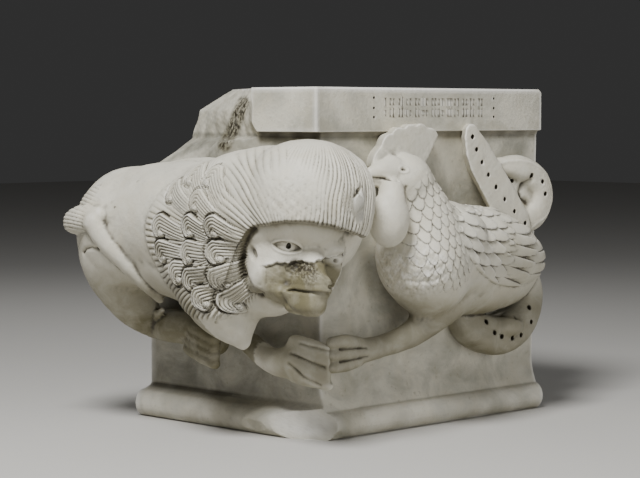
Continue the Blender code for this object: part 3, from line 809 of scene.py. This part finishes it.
def lionMarks(points, normals):
    along, out, level = inFrame(points, cornerView)
    side, outSide, up = inFrame(points, lionSide)
    face = (level < fringeLevel(along)) & (out > 40)
    lowFace = climb(stepLine(along) - level, 1.5) * softDisc(along, level, (-12, 158), (46, 32), -6, 0.25)
    # paw, foot and belly: brown stain and painted shade on the low parts and under the body
    paw = softDisc(along, level, (-8, 78), (50, 34), 0, 0.5)
    foot = climb(116 - up, 16) * (side > 60)
    bellyStainAndShade = climb(165 - up, 30) * 0.55 * (side > 60)
    # painted shadow under the fringe of hair and in the undercut round the face
    fringe = (out > 30) * np.exp(-((fringeLevel(along) - level) / 6) ** 2) * (level < fringeLevel(along) + 1)
    undercut = (out > 30) * (side < 32) * np.exp(-(lineDistance(along, level, faceEdge) / 4.0) ** 2)
    feet = (level < 116) * (out > 4)
    # painted shade in the grooves of the hair
    hairGrooveShade = lionHair(points)[1]
    return {
        "patinaAndShade": face * lowFace * climb(38 - along, 14) + 0.6 * paw + 0.4 * foot + bellyStainAndShade
        + 0.5 * fringe + 0.6 * undercut + 0.6 * hairGrooveShade,
        "dirtAndShade": hairGrooveShade ** 1.4 * 0.95 + 0.5 * fringe + 0.45 * undercut + 0.22 * face * lowFace
        + 0.35 * bellyStainAndShade + 0.15 * paw,
        "clean": 1 - 0.45 * face - 0.6 * feet,
        "pitting": face * (softDisc(along, level, (-13, 175), (19, 8), -8, 0.5)
                           + 0.5 * softDisc(along, level, (-6, 166), (9, 13), 0, 0.6)),
    }


lion = makeFigure("lionFigure", lionSettings, lionMasses, lionLimbs, lionFineAreas, carveLion)
finishStone(lion, carvedMarble)
outAxis = tuple(-cornerView.col[1].xyz)
# pupil and nostril: their holes painted black as shade
eyeHoleShade = [(place(cornerView, (-25, 90, 193.2)), 2.4, outAxis),
            (place(cornerView, (15.5, 112, 157)), 2.6, outAxis)]
paintWeatherAndShade(lion, lionMarks, eyeHoleShade)


print("basilisk")

basiliskSettings = {
    "massVoxel": 4.0,
    "massRounds": 14,
    "voxel": 1.45,
    "rounds": 4,
    "feather": (19.0, 12.5, 3.5),    # length, width, rise of a wing feather
    "scale": (10.5, 10.0, 1.5),
    "drillRadius": 2.7,
    "drillDepth": 7.0,
    "triangles": 186000,
}


def basiliskMasses(bm):
    addParts(bm, birdSide, [
        ((85, 36, 251), (29, 27, 26)),
        [(84, 34, 250, 24), (98, 34, 228, 32), (108, 34, 200, 41), (112, 34, 174, 46), (126, 30, 158, 44)],
        [(120, 30, 170, 46), (170, 22, 172, 44), (225, 14, 168, 42), (262, 8, 160, 38), (287, 2, 154, 32)],
        ((150, 32, 192), (42, 40, 36), -30),
        ((228, 13, 134), (76, 31, 25), 4),
        [(182, 16, 137, 27), (150, 22, 117, 19), (110, 22, 97, 14), (70, 19, 88, 12), (34, 20, 86, 14)],
    ])


def strapOutline():
    left = [(240, 196), (226, 213), (214, 229), (202, 244), (192, 257), (185, 272), (182, 290), (184, 300)]
    tip = [(189, 304), (196, 304), (201, 300)]
    right = [(211, 291), (219, 284), (228, 273), (238, 262), (252, 247), (268, 228), (284, 209), (288, 194)]
    return left + tip + right


def combOutline():
    # a low fan with a few worn teeth, drawn out to a point over the neck
    fan = []
    for step in range(61):
        t = step / 60
        angle = math.radians(170 - 130 * t)
        reach = 46 + 4 * max(0.0, 1 - 6 * t) + 40 * max(0.0, t - 0.6) ** 1.1
        reach += 2.6 * abs(math.sin((4 + 2 * t) * math.pi * t))
        fan.append((90 + reach * math.cos(angle), 254 + reach * math.sin(angle)))
    return fan + [(130, 283), (123, 273), (113, 259), (104, 246), (76, 248)]


def basiliskParts(bm):
    addLimb(bm, birdSide, [(64, 38, 260, 15), (50, 38, 259, 11), (38, 35, 257, 7)], flat=0.9)
    addLimb(bm, birdSide, [(62, 40, 251, 8), (50, 38, 249, 6), (43, 36, 248, 4)], flat=0.9)
    addParts(bm, birdSide, [
        [(54, 48, 242, 12), (49, 52, 230, 14), (47, 52, 222, 14)],
        ((46, 52, 214), (22, 18, 27)),
        [(32, 42, 232, 3), (31, 45, 222, 6), (29, 46, 216, 5)],
        ((208, 26, 180), (96, 37, 39), -14),
    ])
    for side in (-1, 0, 1):
        addLimb(bm, birdSide, [(36, 22, 86 + 7 * side, 7.5), (12, 28, 87 + 11 * side, 7),
                               (-10, 31, 87 + 11.5 * side, 6)])
    addPlate(bm, birdSide, strapOutline(), -6, 29, 34)
    addLimb(bm, birdSide, [(250, 10, 265, 4), (266, 10, 260, 10), (286, 11, 257, 14), (308, 11, 246, 16),
                           (317, 10, 228, 17), (310, 10, 210, 16), (292, 10, 203, 14), (279, 10, 212, 12),
                           (278, 10, 224, 9)], square=2.6)
    addBall(bm, birdSide, (292, 2, 230), (38, 15, 38))
    addLimb(bm, birdSide, [(308, 6, 146, 12), (308, 8, 125, 15), (297, 9, 105, 18), (278, 10, 91, 20),
                           (250, 11, 85, 21), (224, 10, 90, 19), (208, 8, 99, 16), (201, 4, 112, 12)],
            square=2.8)
    addBall(bm, birdSide, (256, 22, 94), (22, 15, 13), 4)
    addPlate(bm, birdSide, combOutline(), -6, 34, 34)


def shingles(a, b, length, width, rise):
    # overlapping feathers along a, each highest at its rounded tip, with a raised shaft
    best = np.zeros_like(a)
    done = np.zeros(a.shape, dtype=bool)
    row = np.floor(a / length)
    for back in (1, 0):
        number = row - back
        shift = np.where(np.mod(number, 2) == 0, 0.0, width / 2)
        across = np.mod(b + shift, width) - width / 2
        start = number * length
        tip = start + length * (1.55 - 0.85 * np.abs(2 * across / width) ** 2.4)
        inside = (a >= start) & (a < tip) & ~done
        height = rise * climb(a - start, 1.5 * length)
        height = height * (1 - 0.22 * (2 * across / width) ** 2) - 0.5 * (np.abs(across) > 0.46 * width)
        best = np.where(inside, height, best)
        done = done | inside
    return best


def carveBasilisk(piece):
    s = basiliskSettings
    mesh = piece.data
    points = readPoints(mesh)
    along, out, up = inFrame(points, birdSide)
    softened = [((68, 264), (38, 24), 16), ((290, 232), (20, 19), 16),
                ((10, 86), (42, 24), 6), ((255, 108), (26, 12), 14)]
    for middle, radii, rounds in softened:
        points = relax(mesh, points, softDisc(along, up, middle, radii, 0, 0.4) * (out > 5), rounds)
    normals = setPoints(mesh, points)
    lift = np.zeros(len(points))
    along, out, up = inFrame(points, birdSide)
    ahead = (out > 12) & (normals[:, 1] < 0.3)

    # wing feathers in slanting rows, long ones to the right, scales on neck and breast
    turn = np.radians(-36 + 22 * climb(along - 120, 170))
    a = (along - 140) * np.cos(turn) + (up - 200) * np.sin(turn)
    b = -(along - 140) * np.sin(turn) + (up - 200) * np.cos(turn)
    wing = softDisc(along, up, (214, 180), (93, 38), -14, 0.05) * ahead
    long = climb(along - 205, 20)
    short = shingles(a, b, *s["feather"])
    length, width, rise = s["feather"]
    lift += wing * ((1 - long) * short + long * shingles(a - 8, b, length * 2.4, width * 0.85, rise * 0.9))
    length, width, rise = s["scale"]
    a, b = rotated(along - 140, up - 240, -78)
    breast = softDisc(along, up, (108, 200), (46, 62), 8, 0.12) * ahead * (1 - wing)
    breast = breast * climb(along + out - 112, 8)
    lift += breast * shingles(a, b, length, width, rise)
    # battered breast and shoulder
    battered = softDisc(along, up, (76, 160), (40, 34), 0, 0.6) * ahead
    lift += battered * (grain(along, up, out, 17) * 0.9 + grain(along, up, out, 9) * 0.45)
    hurt = softDisc(along, up, (176, 226), (24, 12), -14, 0.6) * ahead
    lift += hurt * (grain(along, up, out, 8) * 0.9 - 0.6)

    # eye, parting of the beak, edge of the wattle
    eye = np.hypot((along - 66) / 1.3, up - 261)
    lift += ahead * (out > 40) * (0.8 * np.exp(-((eye - 3.2) / 0.9) ** 2) - 1.5 * climb(1.8 - eye, 0.8))
    lift += ahead * (out > 24) * groove(along, up, [(36, 253), (46, 252.5), (56, 251)], 2.0, 2.2)
    lift += ahead * groove(along, up, [(67, 244), (69, 232), (68, 218), (62, 204)], 2.4, 2.0)
    # raised rims along the tail's ring and coil
    rim = [(243, 266), (261, 270), (277, 271), (295, 268), (315, 260), (324, 253), (332, 234), (332, 223),
           (327, 210), (321, 202), (304, 194), (296, 187)]
    lift += ahead * (up > 185) * 0.9 * np.exp(-((lineDistance(along, up, rim) - 5) / 1.6) ** 2)
    ringSlot = [(293, 245), (287, 240), (284.5, 233), (287, 226), (294, 222)]
    lift += ahead * (along > 262) * (up > 200) * groove(along, up, ringSlot, 6.0, 2.8)
    coilSlot = [(238, 110), (250, 108), (266, 104)]
    lift += ahead * (along > 225) * (up < 118) * groove(along, up, coilSlot, 4.5, 3.6)
    # lines of the toes and of the leg's bend
    cutLines(lift, ahead * (along < 60), along, up,
             [([(-2, 92), (38, 90)], 2.4, 1.6), ([(-2, 80), (40, 81)], 2.4, 1.6)])
    lift += grain(along, up, out, 22) * 0.15 + grain(along, up, out, 7) * 0.03

    raisePoints(mesh, points, normals, lift)


def basiliskFineAreas(middles):
    along, out, up = inFrame(middles, birdSide)
    wing = softDisc(along, up, (214, 182), (96, 44), -14, 0.05) > 0
    breast = softDisc(along, up, (100, 200), (62, 80), 8, 0.1) > 0
    return (wing | breast) & (out > 12)


def arcPlaces(centre, radii, angles):
    return [(centre[0] + radii[0] * math.cos(math.radians(angle)),
             centre[1] + radii[1] * math.sin(math.radians(angle))) for angle in angles]


def drillPlaces():
    places = [(194 + 5.6 * step + 0.92 * step * step, 291 - 12.9 * step) for step in range(8)]
    places += arcPlaces((291, 232), (23, 18), (136, 85, 38, -6))
    places += arcPlaces((256, 104), (36, 21), (187, 222, 242, 268, 293, 340, 380))
    return places


def cutterTree(name, shape):
    # one cutter on every point of the mesh: a drill for round holes, a chisel for strokes
    tree = bpy.data.node_groups.new(name, "GeometryNodeTree")
    tree.interface.new_socket("Geometry", in_out="INPUT", socket_type="NodeSocketGeometry")
    tree.interface.new_socket("Geometry", in_out="OUTPUT", socket_type="NodeSocketGeometry")
    for label in ("Width", "Depth", "Height", "Unevenness"):
        tree.interface.new_socket(label, in_out="INPUT", socket_type="NodeSocketFloat")
    material = tree.interface.new_socket("Material", in_out="INPUT", socket_type="NodeSocketMaterial")
    start = addNode(tree, "NodeGroupInput")
    end = addNode(tree, "NodeGroupOutput")
    if shape == "drill":
        cutter = addNode(tree, "GeometryNodeMeshCylinder", {"Vertices": 16, "Side Segments": 14},
                         {"Radius": start.outputs["Width"], "Depth": start.outputs["Depth"]})
        turn = (math.radians(90), 0.0, 0.0)
    else:
        size = addNode(tree, "ShaderNodeCombineXYZ", None,
                       {"X": start.outputs["Width"], "Y": start.outputs["Depth"], "Z": start.outputs["Height"]})
        cutter = addNode(tree, "GeometryNodeMeshCube", None, {"Size": size.outputs[0]})
        turn = (0.0, 0.0, 0.0)
    low = addNode(tree, "ShaderNodeMath", {"operation": "SUBTRACT", 0: 1.0}, {1: start.outputs["Unevenness"]})
    scale = addNode(tree, "FunctionNodeRandomValue", {"Seed": 7}, {2: low.outputs[0]})
    put = addNode(tree, "GeometryNodeInstanceOnPoints", {"Rotation": turn},
                  {"Points": start.outputs["Geometry"], "Instance": cutter.outputs["Mesh"],
                   "Scale": scale.outputs[1]})
    real = addNode(tree, "GeometryNodeRealizeInstances", None, {0: put.outputs[0]})
    paint = addNode(tree, "GeometryNodeSetMaterial", None,
                    {"Geometry": real.outputs[0], "Material": start.outputs["Material"]})
    tree.links.new(paint.outputs[0], end.inputs[0])
    return tree


def cuttersAt(points, tree, sizes, material, name):
    mesh = bpy.data.meshes.new(name)
    mesh.from_pydata([tuple(point) for point in points], [], [])
    piece = bpy.data.objects.new(name, mesh)
    bpy.context.scene.collection.objects.link(piece)
    modifier = piece.modifiers.new("cutters", "NODES")
    modifier.node_group = tree
    named = {item.name: item.identifier for item in tree.interface.items_tree if item.in_out == "INPUT"}
    for label, value in sizes.items():
        modifier[named[label]] = value
    modifier[named["Material"]] = material
    return applyModifiers(piece)


def drillTail(piece):
    s = basiliskSettings
    skin = BVHTree.FromObject(piece, bpy.context.evaluated_depsgraph_get())
    inward = birdSide.to_3x3() @ Vector((0, -1, 0))
    points = []
    for along, up in drillPlaces():
        hit, normal, index, distance = skin.ray_cast(place(birdSide, (along, 120, up)), inward)
        if hit is not None:
            points.append(hit)
    sizes = {"Width": s["drillRadius"] * mm, "Depth": 2 * s["drillDepth"] * mm,
             "Height": 0.0, "Unevenness": 0.12}
    cutters = cuttersAt(points, cutterTree("drillHoles", "drill"), sizes, carvedMarble, "drills")
    combine(piece, cutters, "DIFFERENCE")
    print("drilled holes", len(points), "points", len(piece.data.vertices))
    return points


def basiliskMarks(points, normals):
    along, out, up = inFrame(points, birdSide)
    a, b, c = points.T / mm
    # darker towards the bottom: brown stain and painted shade on the low parts
    low = climb(150 - up, 40) * 0.65
    wing = softDisc(along, up, (240, 168), (70, 26), -14, 0.6) * 0.3
    breast = softDisc(along, up, (76, 162), (42, 36), 0, 0.6)
    shoulder = softDisc(along, up, (176, 226), (24, 12), -14, 0.6)
    return {
        "patinaAndShade": low + wing,
        "dirtAndShade": 0.3 * climb(136 - up, 24),
        "bruise": (breast + shoulder) * climb(grain(a, b, c, 11) + 0.2) * 0.7,
        "pitting": shoulder * 0.5,
        "clean": 1 - 0.6 * (along < 60) * (up < 110),
    }


basilisk = makeFigure("basiliskFigure", basiliskSettings, basiliskMasses, basiliskParts,
                      basiliskFineAreas, carveBasilisk)
drilled = drillTail(basilisk)
finishStone(basilisk, carvedMarble)
holeAxis = (0.0, 1.0, 0.0)
# the drilled holes of the tail painted black as shade
paintWeatherAndShade(basilisk, basiliskMarks, [(spot, basiliskSettings["drillRadius"], holeAxis) for spot in drilled])


print("block")

blockSettings = {
    "bandHeight": 44.0,
    "torusHeight": 27.0,
    "torusOut": 12.5,
    "lionSetBack": 9.5,
    "birdSetBack": 4.0,
    "lionCove": 6.0,
    "birdCove": 28.0,
    "endBatter": 7.0,
    "arrisWear": 1.3,
    "meshSize": 4.2,          # on the carved faces; the built-in ones are coarser
    "triangles": 170000,
    "strokeRows": (326.0, 315.0),
    "strokeStart": 97.0,
    "strokeEnd": 245.0,
    "strokeSteps": (4.6, 6.2, 5.0, 8.4),
    "strokeWidth": 1.3,
    "strokeDepth": 1.9,
    "strokeHeight": 8.5,
    "dotRadius": 1.5,
    "dotDepth": 5.0,
}
bandFoot = blockHeight - blockSettings["bandHeight"]
dots = [place(birdSide, (along, 0.0, up)) for along in (80, 261) for up in (330, 320, 311)]


def faceStep(level, setBack, cove):
    s = blockSettings
    top = s["torusHeight"]
    if level <= top:
        middle = top / 2
        return s["torusOut"] * math.sqrt(max(0.0, 1 - 0.92 * ((level - middle) / middle) ** 2))
    if level < top + cove:
        return 3.0 + (-setBack - 3.0) * math.sin((level - top) / cove * math.pi / 2)
    if level <= bandFoot - 4:
        return -setBack
    if level <= bandFoot:
        return -setBack + 1.5 * (level - bandFoot + 4) / 4
    return 0.0


def between(values, size):
    # the same values with evenly spaced ones added wherever a gap is wider than this size
    dense = [values[0]]
    for low, high in zip(values, values[1:]):
        parts = max(1, math.ceil((high - low) / size))
        dense += [low + (high - low) * k / parts for k in range(1, parts + 1)]
    return dense


def makeBlock():
    s = blockSettings
    top = s["torusHeight"]
    levels = [top * (1 - math.cos(math.pi * k / 14)) / 2 for k in range(15)]
    levels += [top + 0.6 + (s["birdCove"] - 0.6) * (k / 10) ** 1.3 for k in range(11)]
    levels += [bandFoot - 4, bandFoot, bandFoot + 1.2, bandFoot + 2.4]
    levels = between(levels + [blockHeight - 2.0, blockHeight - 0.7, blockHeight], s["meshSize"])
    front = round(blockWidth / s["meshSize"])
    side = round(blockDepth / s["meshSize"])
    bm = bmesh.new()
    rings = []
    for level in levels:
        lionOut = faceStep(level, s["lionSetBack"], s["lionCove"])
        birdOut = faceStep(level, s["birdSetBack"], s["birdCove"])
        worn = max(0.0, level - blockHeight + 2.0) * 0.7
        xEnd = blockWidth if level > bandFoot else blockWidth - 3 - s["endBatter"] * (1 - level / bandFoot)
        radius = s["arrisWear"] * 1.6
        x, y = worn - lionOut, worn - birdOut
        plan = [(x, y + radius), (x + 0.3 * radius, y + 0.3 * radius), (x + radius, y), (xEnd - radius, y),
                (xEnd, y + radius), (xEnd, blockDepth), (x, blockDepth)]
        outline = []
        shares = (1, 1, front, 1, side // 2, front // 2, side)
        for (x0, y0), (x1, y1), parts in zip(plan, plan[1:] + plan[:1], shares):
            outline += [(x0 + (x1 - x0) * k / parts, y0 + (y1 - y0) * k / parts) for k in range(parts)]
        ring = [Vector((cornerFoot[0] + x, cornerFoot[1] + y, cornerFoot[2] + level)) * mm
                for x, y in outline]
        rings.append([bm.verts.new(point) for point in ring])
    closeRings(bm, rings)
    return toObject(bm, "capitalBlock")


def breakDepth(along, up):
    # how deep the knocked-off back corner reaches behind the lion's face
    upper = 0.5 + 0.5 * math.tanh((up - 289) / 1.5)
    start = 128 - 38 * upper - 0.9 * max(0.0, 306 - up) * upper
    farLower = 22 + (up - 264) * 1.9
    farUpper = 68 + (up - 292) * 0.45 + max(0.0, up - 318) * 1.6
    far = farLower + (farUpper - farLower) * upper
    part = (along - start) / (blockDepth - start)
    deep = far * (0.88 * part + 0.12 * math.tanh(9 * part))
    below = max(0.0, 262 - up) * 3.0
    return deep + float(rough(along * 0.4, up * 0.5, 1.0)) - below


def makeCornerBreak():
    alongs = np.linspace(70, 275, 118)
    ups = np.linspace(250, 352, 64)
    bm = bmesh.new()
    grids = []
    for front in (True, False):
        grid = []
        for along in alongs:
            column = []
            for up in ups:
                reach = -70.0 if front else max(-60.0, breakDepth(along, min(up, blockHeight)))
                spot = (cornerFoot[0] + reach, cornerFoot[1] + along, cornerFoot[2] + up)
                column.append(bm.verts.new(Vector(spot) * mm))
            grid.append(column)
        grids.append(grid)
    for grid in grids:
        for i in range(len(alongs) - 1):
            for j in range(len(ups) - 1):
                bm.faces.new((grid[i][j], grid[i + 1][j], grid[i + 1][j + 1], grid[i][j + 1]))
    last, top = len(alongs) - 1, len(ups) - 1
    edge = [(i, 0) for i in range(last + 1)] + [(last, j) for j in range(1, top + 1)]
    edge += [(i, top) for i in range(last - 1, -1, -1)] + [(0, j) for j in range(top - 1, 0, -1)]
    for (i, j), (m, n) in zip(edge, edge[1:] + edge[:1]):
        bm.faces.new((grids[0][i][j], grids[0][m][n], grids[1][m][n], grids[1][i][j]))
    return toObject(bm, "cornerBreak")


def chipAway(stone):
    lumps = [
        (facingFrame(25), (-19, 48, 13), (172, 60, 45), 0),
        (birdSide, (20, 40, 0), (17, 34, 16), 0),
        (lionSide, (75, 22, 4), (30, 13, 17), 8),
        (birdSide, (340, 18, 8), (11, 16, 18), 0),
        (birdSide, (347, 2, 344), (12, 22, 11), 0),
    ]
    for where, centre, radii, tilt in lumps:
        bm = bmesh.new()
        verts = addBall(bm, where, centre, radii, tilt, fine=6 if radii[0] > 100 else 4)
        middle = where @ (Vector(centre) * mm)
        for vert in verts:
            a, b, c = vert.co / mm
            push = 1 + float(rough(a + c, b - c, 0.35 / radii[1]))
            vert.co = middle + (vert.co - middle) * push
        combine(stone, toObject(bm, "lump"), "DIFFERENCE")


def cutStrokes(stone):
    # rows of shallow upright strokes on the band, with three drilled dots at each end
    s = blockSettings
    strokes = []
    for row in s["strokeRows"]:
        along = s["strokeStart"]
        step = 0
        while along < s["strokeEnd"]:
            strokes.append(place(birdSide, (along, 0.0, row)))
            step += 1
            along += s["strokeSteps"][step % 4]
    sizes = {"Width": s["strokeWidth"] * mm, "Depth": s["strokeDepth"] * mm,
             "Height": s["strokeHeight"] * mm, "Unevenness": 0.35}
    combine(stone, cuttersAt(strokes, cutterTree("chiselStrokes", "chisel"), sizes, dressedMarble, "strokes"),
            "DIFFERENCE")
    sizes = {"Width": s["dotRadius"] * mm, "Depth": s["dotDepth"] * mm, "Height": 0.0, "Unevenness": 0.1}
    combine(stone, cuttersAt(dots, cutterTree("drilledDots", "drill"), sizes, dressedMarble, "dots"),
            "DIFFERENCE")
    print("strokes", len(strokes))


def blockFineAreas(middles):
    along, out, up = inFrame(middles, lionSide)
    across, depth, level = inFrame(middles, cornerView)
    knocked = (out < -8) & (up > 262) & (up < blockHeight - 1) & (along > 90) & (along < blockDepth - 2)
    return knocked & (inFrame(middles, birdSide)[0] < 130) | (softDisc(across, level, (-26, 14), (78, 27)) > 0)


def roughenBreaks(piece):
    # broken stone is uneven, its edges are worn soft, dressed faces are left as they are
    mesh = piece.data
    points = readPoints(mesh)
    along, out, up = inFrame(points, lionSide)
    far = inFrame(points, birdSide)[0]
    broken = climb(-out - 8, 3) * climb(along - 90, 10) * climb(up - 258, 6)
    broken = broken * (far < 130) * (along < blockDepth - 1) * (up < blockHeight - 1)
    a, depth, level = inFrame(points, cornerView)
    corner = softDisc(a, level, (-26, 14), (78, 27), 0, 0.5) * climb(level - 1, 3)
    points = relax(mesh, points, np.maximum(corner, 0.7 * broken), 10)
    normals = setPoints(mesh, points)
    a, b, c = points.T / mm
    lift = broken * grain(a, b, c, 26) * 0.5 + corner * grain(a, b, c, 19) * 0.3
    raisePoints(mesh, points, normals, lift)


def blockMarks(points, normals):
    a, b, c = points.T / mm
    along, out, up = inFrame(points, lionSide)
    across, depth, level = inFrame(points, cornerView)
    foot = climb(36 - up, 30) * 0.35 * (0.5 + 0.5 * grain(a, b, c, 61))
    broken = softDisc(along, up, (200, 300), (110, 50), 0, 0.4) * 0.25
    pitted = climb(9 - lineDistance(across, level, [(-74, 325), (-82, 304), (-92, 284)]), 4) * (along > 60)
    pitted = pitted * (normals[:, 1] < 0.7)   # not on the built-in face behind
    # field: the sunk face between moulding and band; its grey film is partly painted shade, heaviest on the
    # lion's side, which lies in the lion's shadow
    field = climb(bandFoot - up, 3) * climb(up - 30, 8)
    bird = climb(-normals[:, 1])
    facet = softDisc(across, level, (-12, 16), (42, 20), 0, 0.5)
    # painted shade on the field faces that look to the lion's side
    shaded = climb(-normals[:, 0]) * field
    return {
        "dirtAndShade": 0.22 * shaded,
        "patinaAndShade": foot * (1 - facet) + broken * (0.5 + 0.5 * grain(a, b, c, 23)) + 0.5 * pitted,
        "filmAndShade": (field * (1.0 - bird * (0.6 - 0.6 * up / blockHeight)) + 0.5 * bird * (1 - field) * (up > 60))
        * (0.8 + 0.2 * grain(a, b, c, 45)),
        "bruise": 0.7 * facet,
        "clean": 0.45,
        "pitting": pitted,
    }


block = makeBlock()
combine(block, makeCornerBreak(), "DIFFERENCE")
chipAway(block)
refine(block, blockFineAreas)
roughenBreaks(block)
thinOut(block, blockSettings["triangles"])
cutStrokes(block)
block.data.materials.clear()
block.data.materials.append(dressedMarble)
# the drilled dots painted black as shade
dotHoleShade = [(dot, blockSettings["dotRadius"], holeAxis) for dot in dots]
paintWeatherAndShade(block, blockMarks, dotHoleShade, reach=5)


print("camera, light and floor")

floorSettings = {"size": 12.0, "roughness": 0.8}


def makeFloor():
    bm = bmesh.new()
    bmesh.ops.create_grid(bm, x_segments=1, y_segments=1, size=floorSettings["size"] / 2)
    piece = toObject(bm, "studioFloor")
    material = bpy.data.materials.new("paintedFloorMatt")   # plain matt paint, no sheen
    material.use_nodes = True
    shader = material.node_tree.nodes["Principled BSDF"]
    shader.inputs["Base Color"].default_value = linearColour("paleFloor")
    shader.inputs["Roughness"].default_value = floorSettings["roughness"]
    piece.data.materials.append(material)
    return piece


def aim(piece, direction):
    piece.rotation_mode = "QUATERNION"
    piece.rotation_quaternion = Vector(direction).to_track_quat("-Z", "Y")


cameraSettings = {
    "distance": 1952.0,        # millimetres from the front corner, level with the floor
    "sideways": 3.8,
    "height": 315.0,
    "pitch": 3.517,
    "focalPixels": 2050.0,
    "imageWidth": 640,
    "sensorWidth": 36.0,
}


def makeCamera():
    s = cameraSettings
    camera = bpy.data.objects.new("camera", bpy.data.cameras.new("camera"))
    bpy.context.scene.collection.objects.link(camera)
    camera.location = place(cornerView, (s["sideways"], s["distance"], s["height"]))
    pitch = math.radians(s["pitch"])
    aim(camera, (math.cos(pitch) * rootHalf, math.cos(pitch) * rootHalf, -math.sin(pitch)))
    camera.data.sensor_width = s["sensorWidth"]
    camera.data.lens = s["sensorWidth"] * s["focalPixels"] / s["imageWidth"]
    bpy.context.scene.camera = camera


# each light's place and target in millimetres from the corner, its size in metres, its power in watts
lightSettings = {
    "keyLight": ((-330, 1000, 1600), (0, 0, 180), 0.5, 48),
    "fillLight": ((1300, 1100, 420), (0, 0, 180), 1.0, 9),
    "backLight": ((-300, -1300, 1300), (0, 0, 200), 1.2, 3),
}
worldStrength = 0.07


def addSoftLight(name, spot, target, size, power):
    lamp = bpy.data.lights.new(name, "AREA")
    lamp.size = size
    lamp.energy = power
    piece = bpy.data.objects.new(name, lamp)
    bpy.context.scene.collection.objects.link(piece)
    piece.location = place(cornerView, spot)
    aim(piece, place(cornerView, target) - piece.location)


makeCamera()
for lightName, light in lightSettings.items():
    addSoftLight(lightName, *light)
world = bpy.data.worlds.new("studio")
world.use_nodes = True
world.node_tree.nodes["Background"].inputs["Color"].default_value = (0.5, 0.5, 0.5, 1.0)
world.node_tree.nodes["Background"].inputs["Strength"].default_value = worldStrength
bpy.context.scene.world = world

floor = makeFloor()
for piece in (lion, basilisk, block):
    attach(piece, "root")
    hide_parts(nodeName)
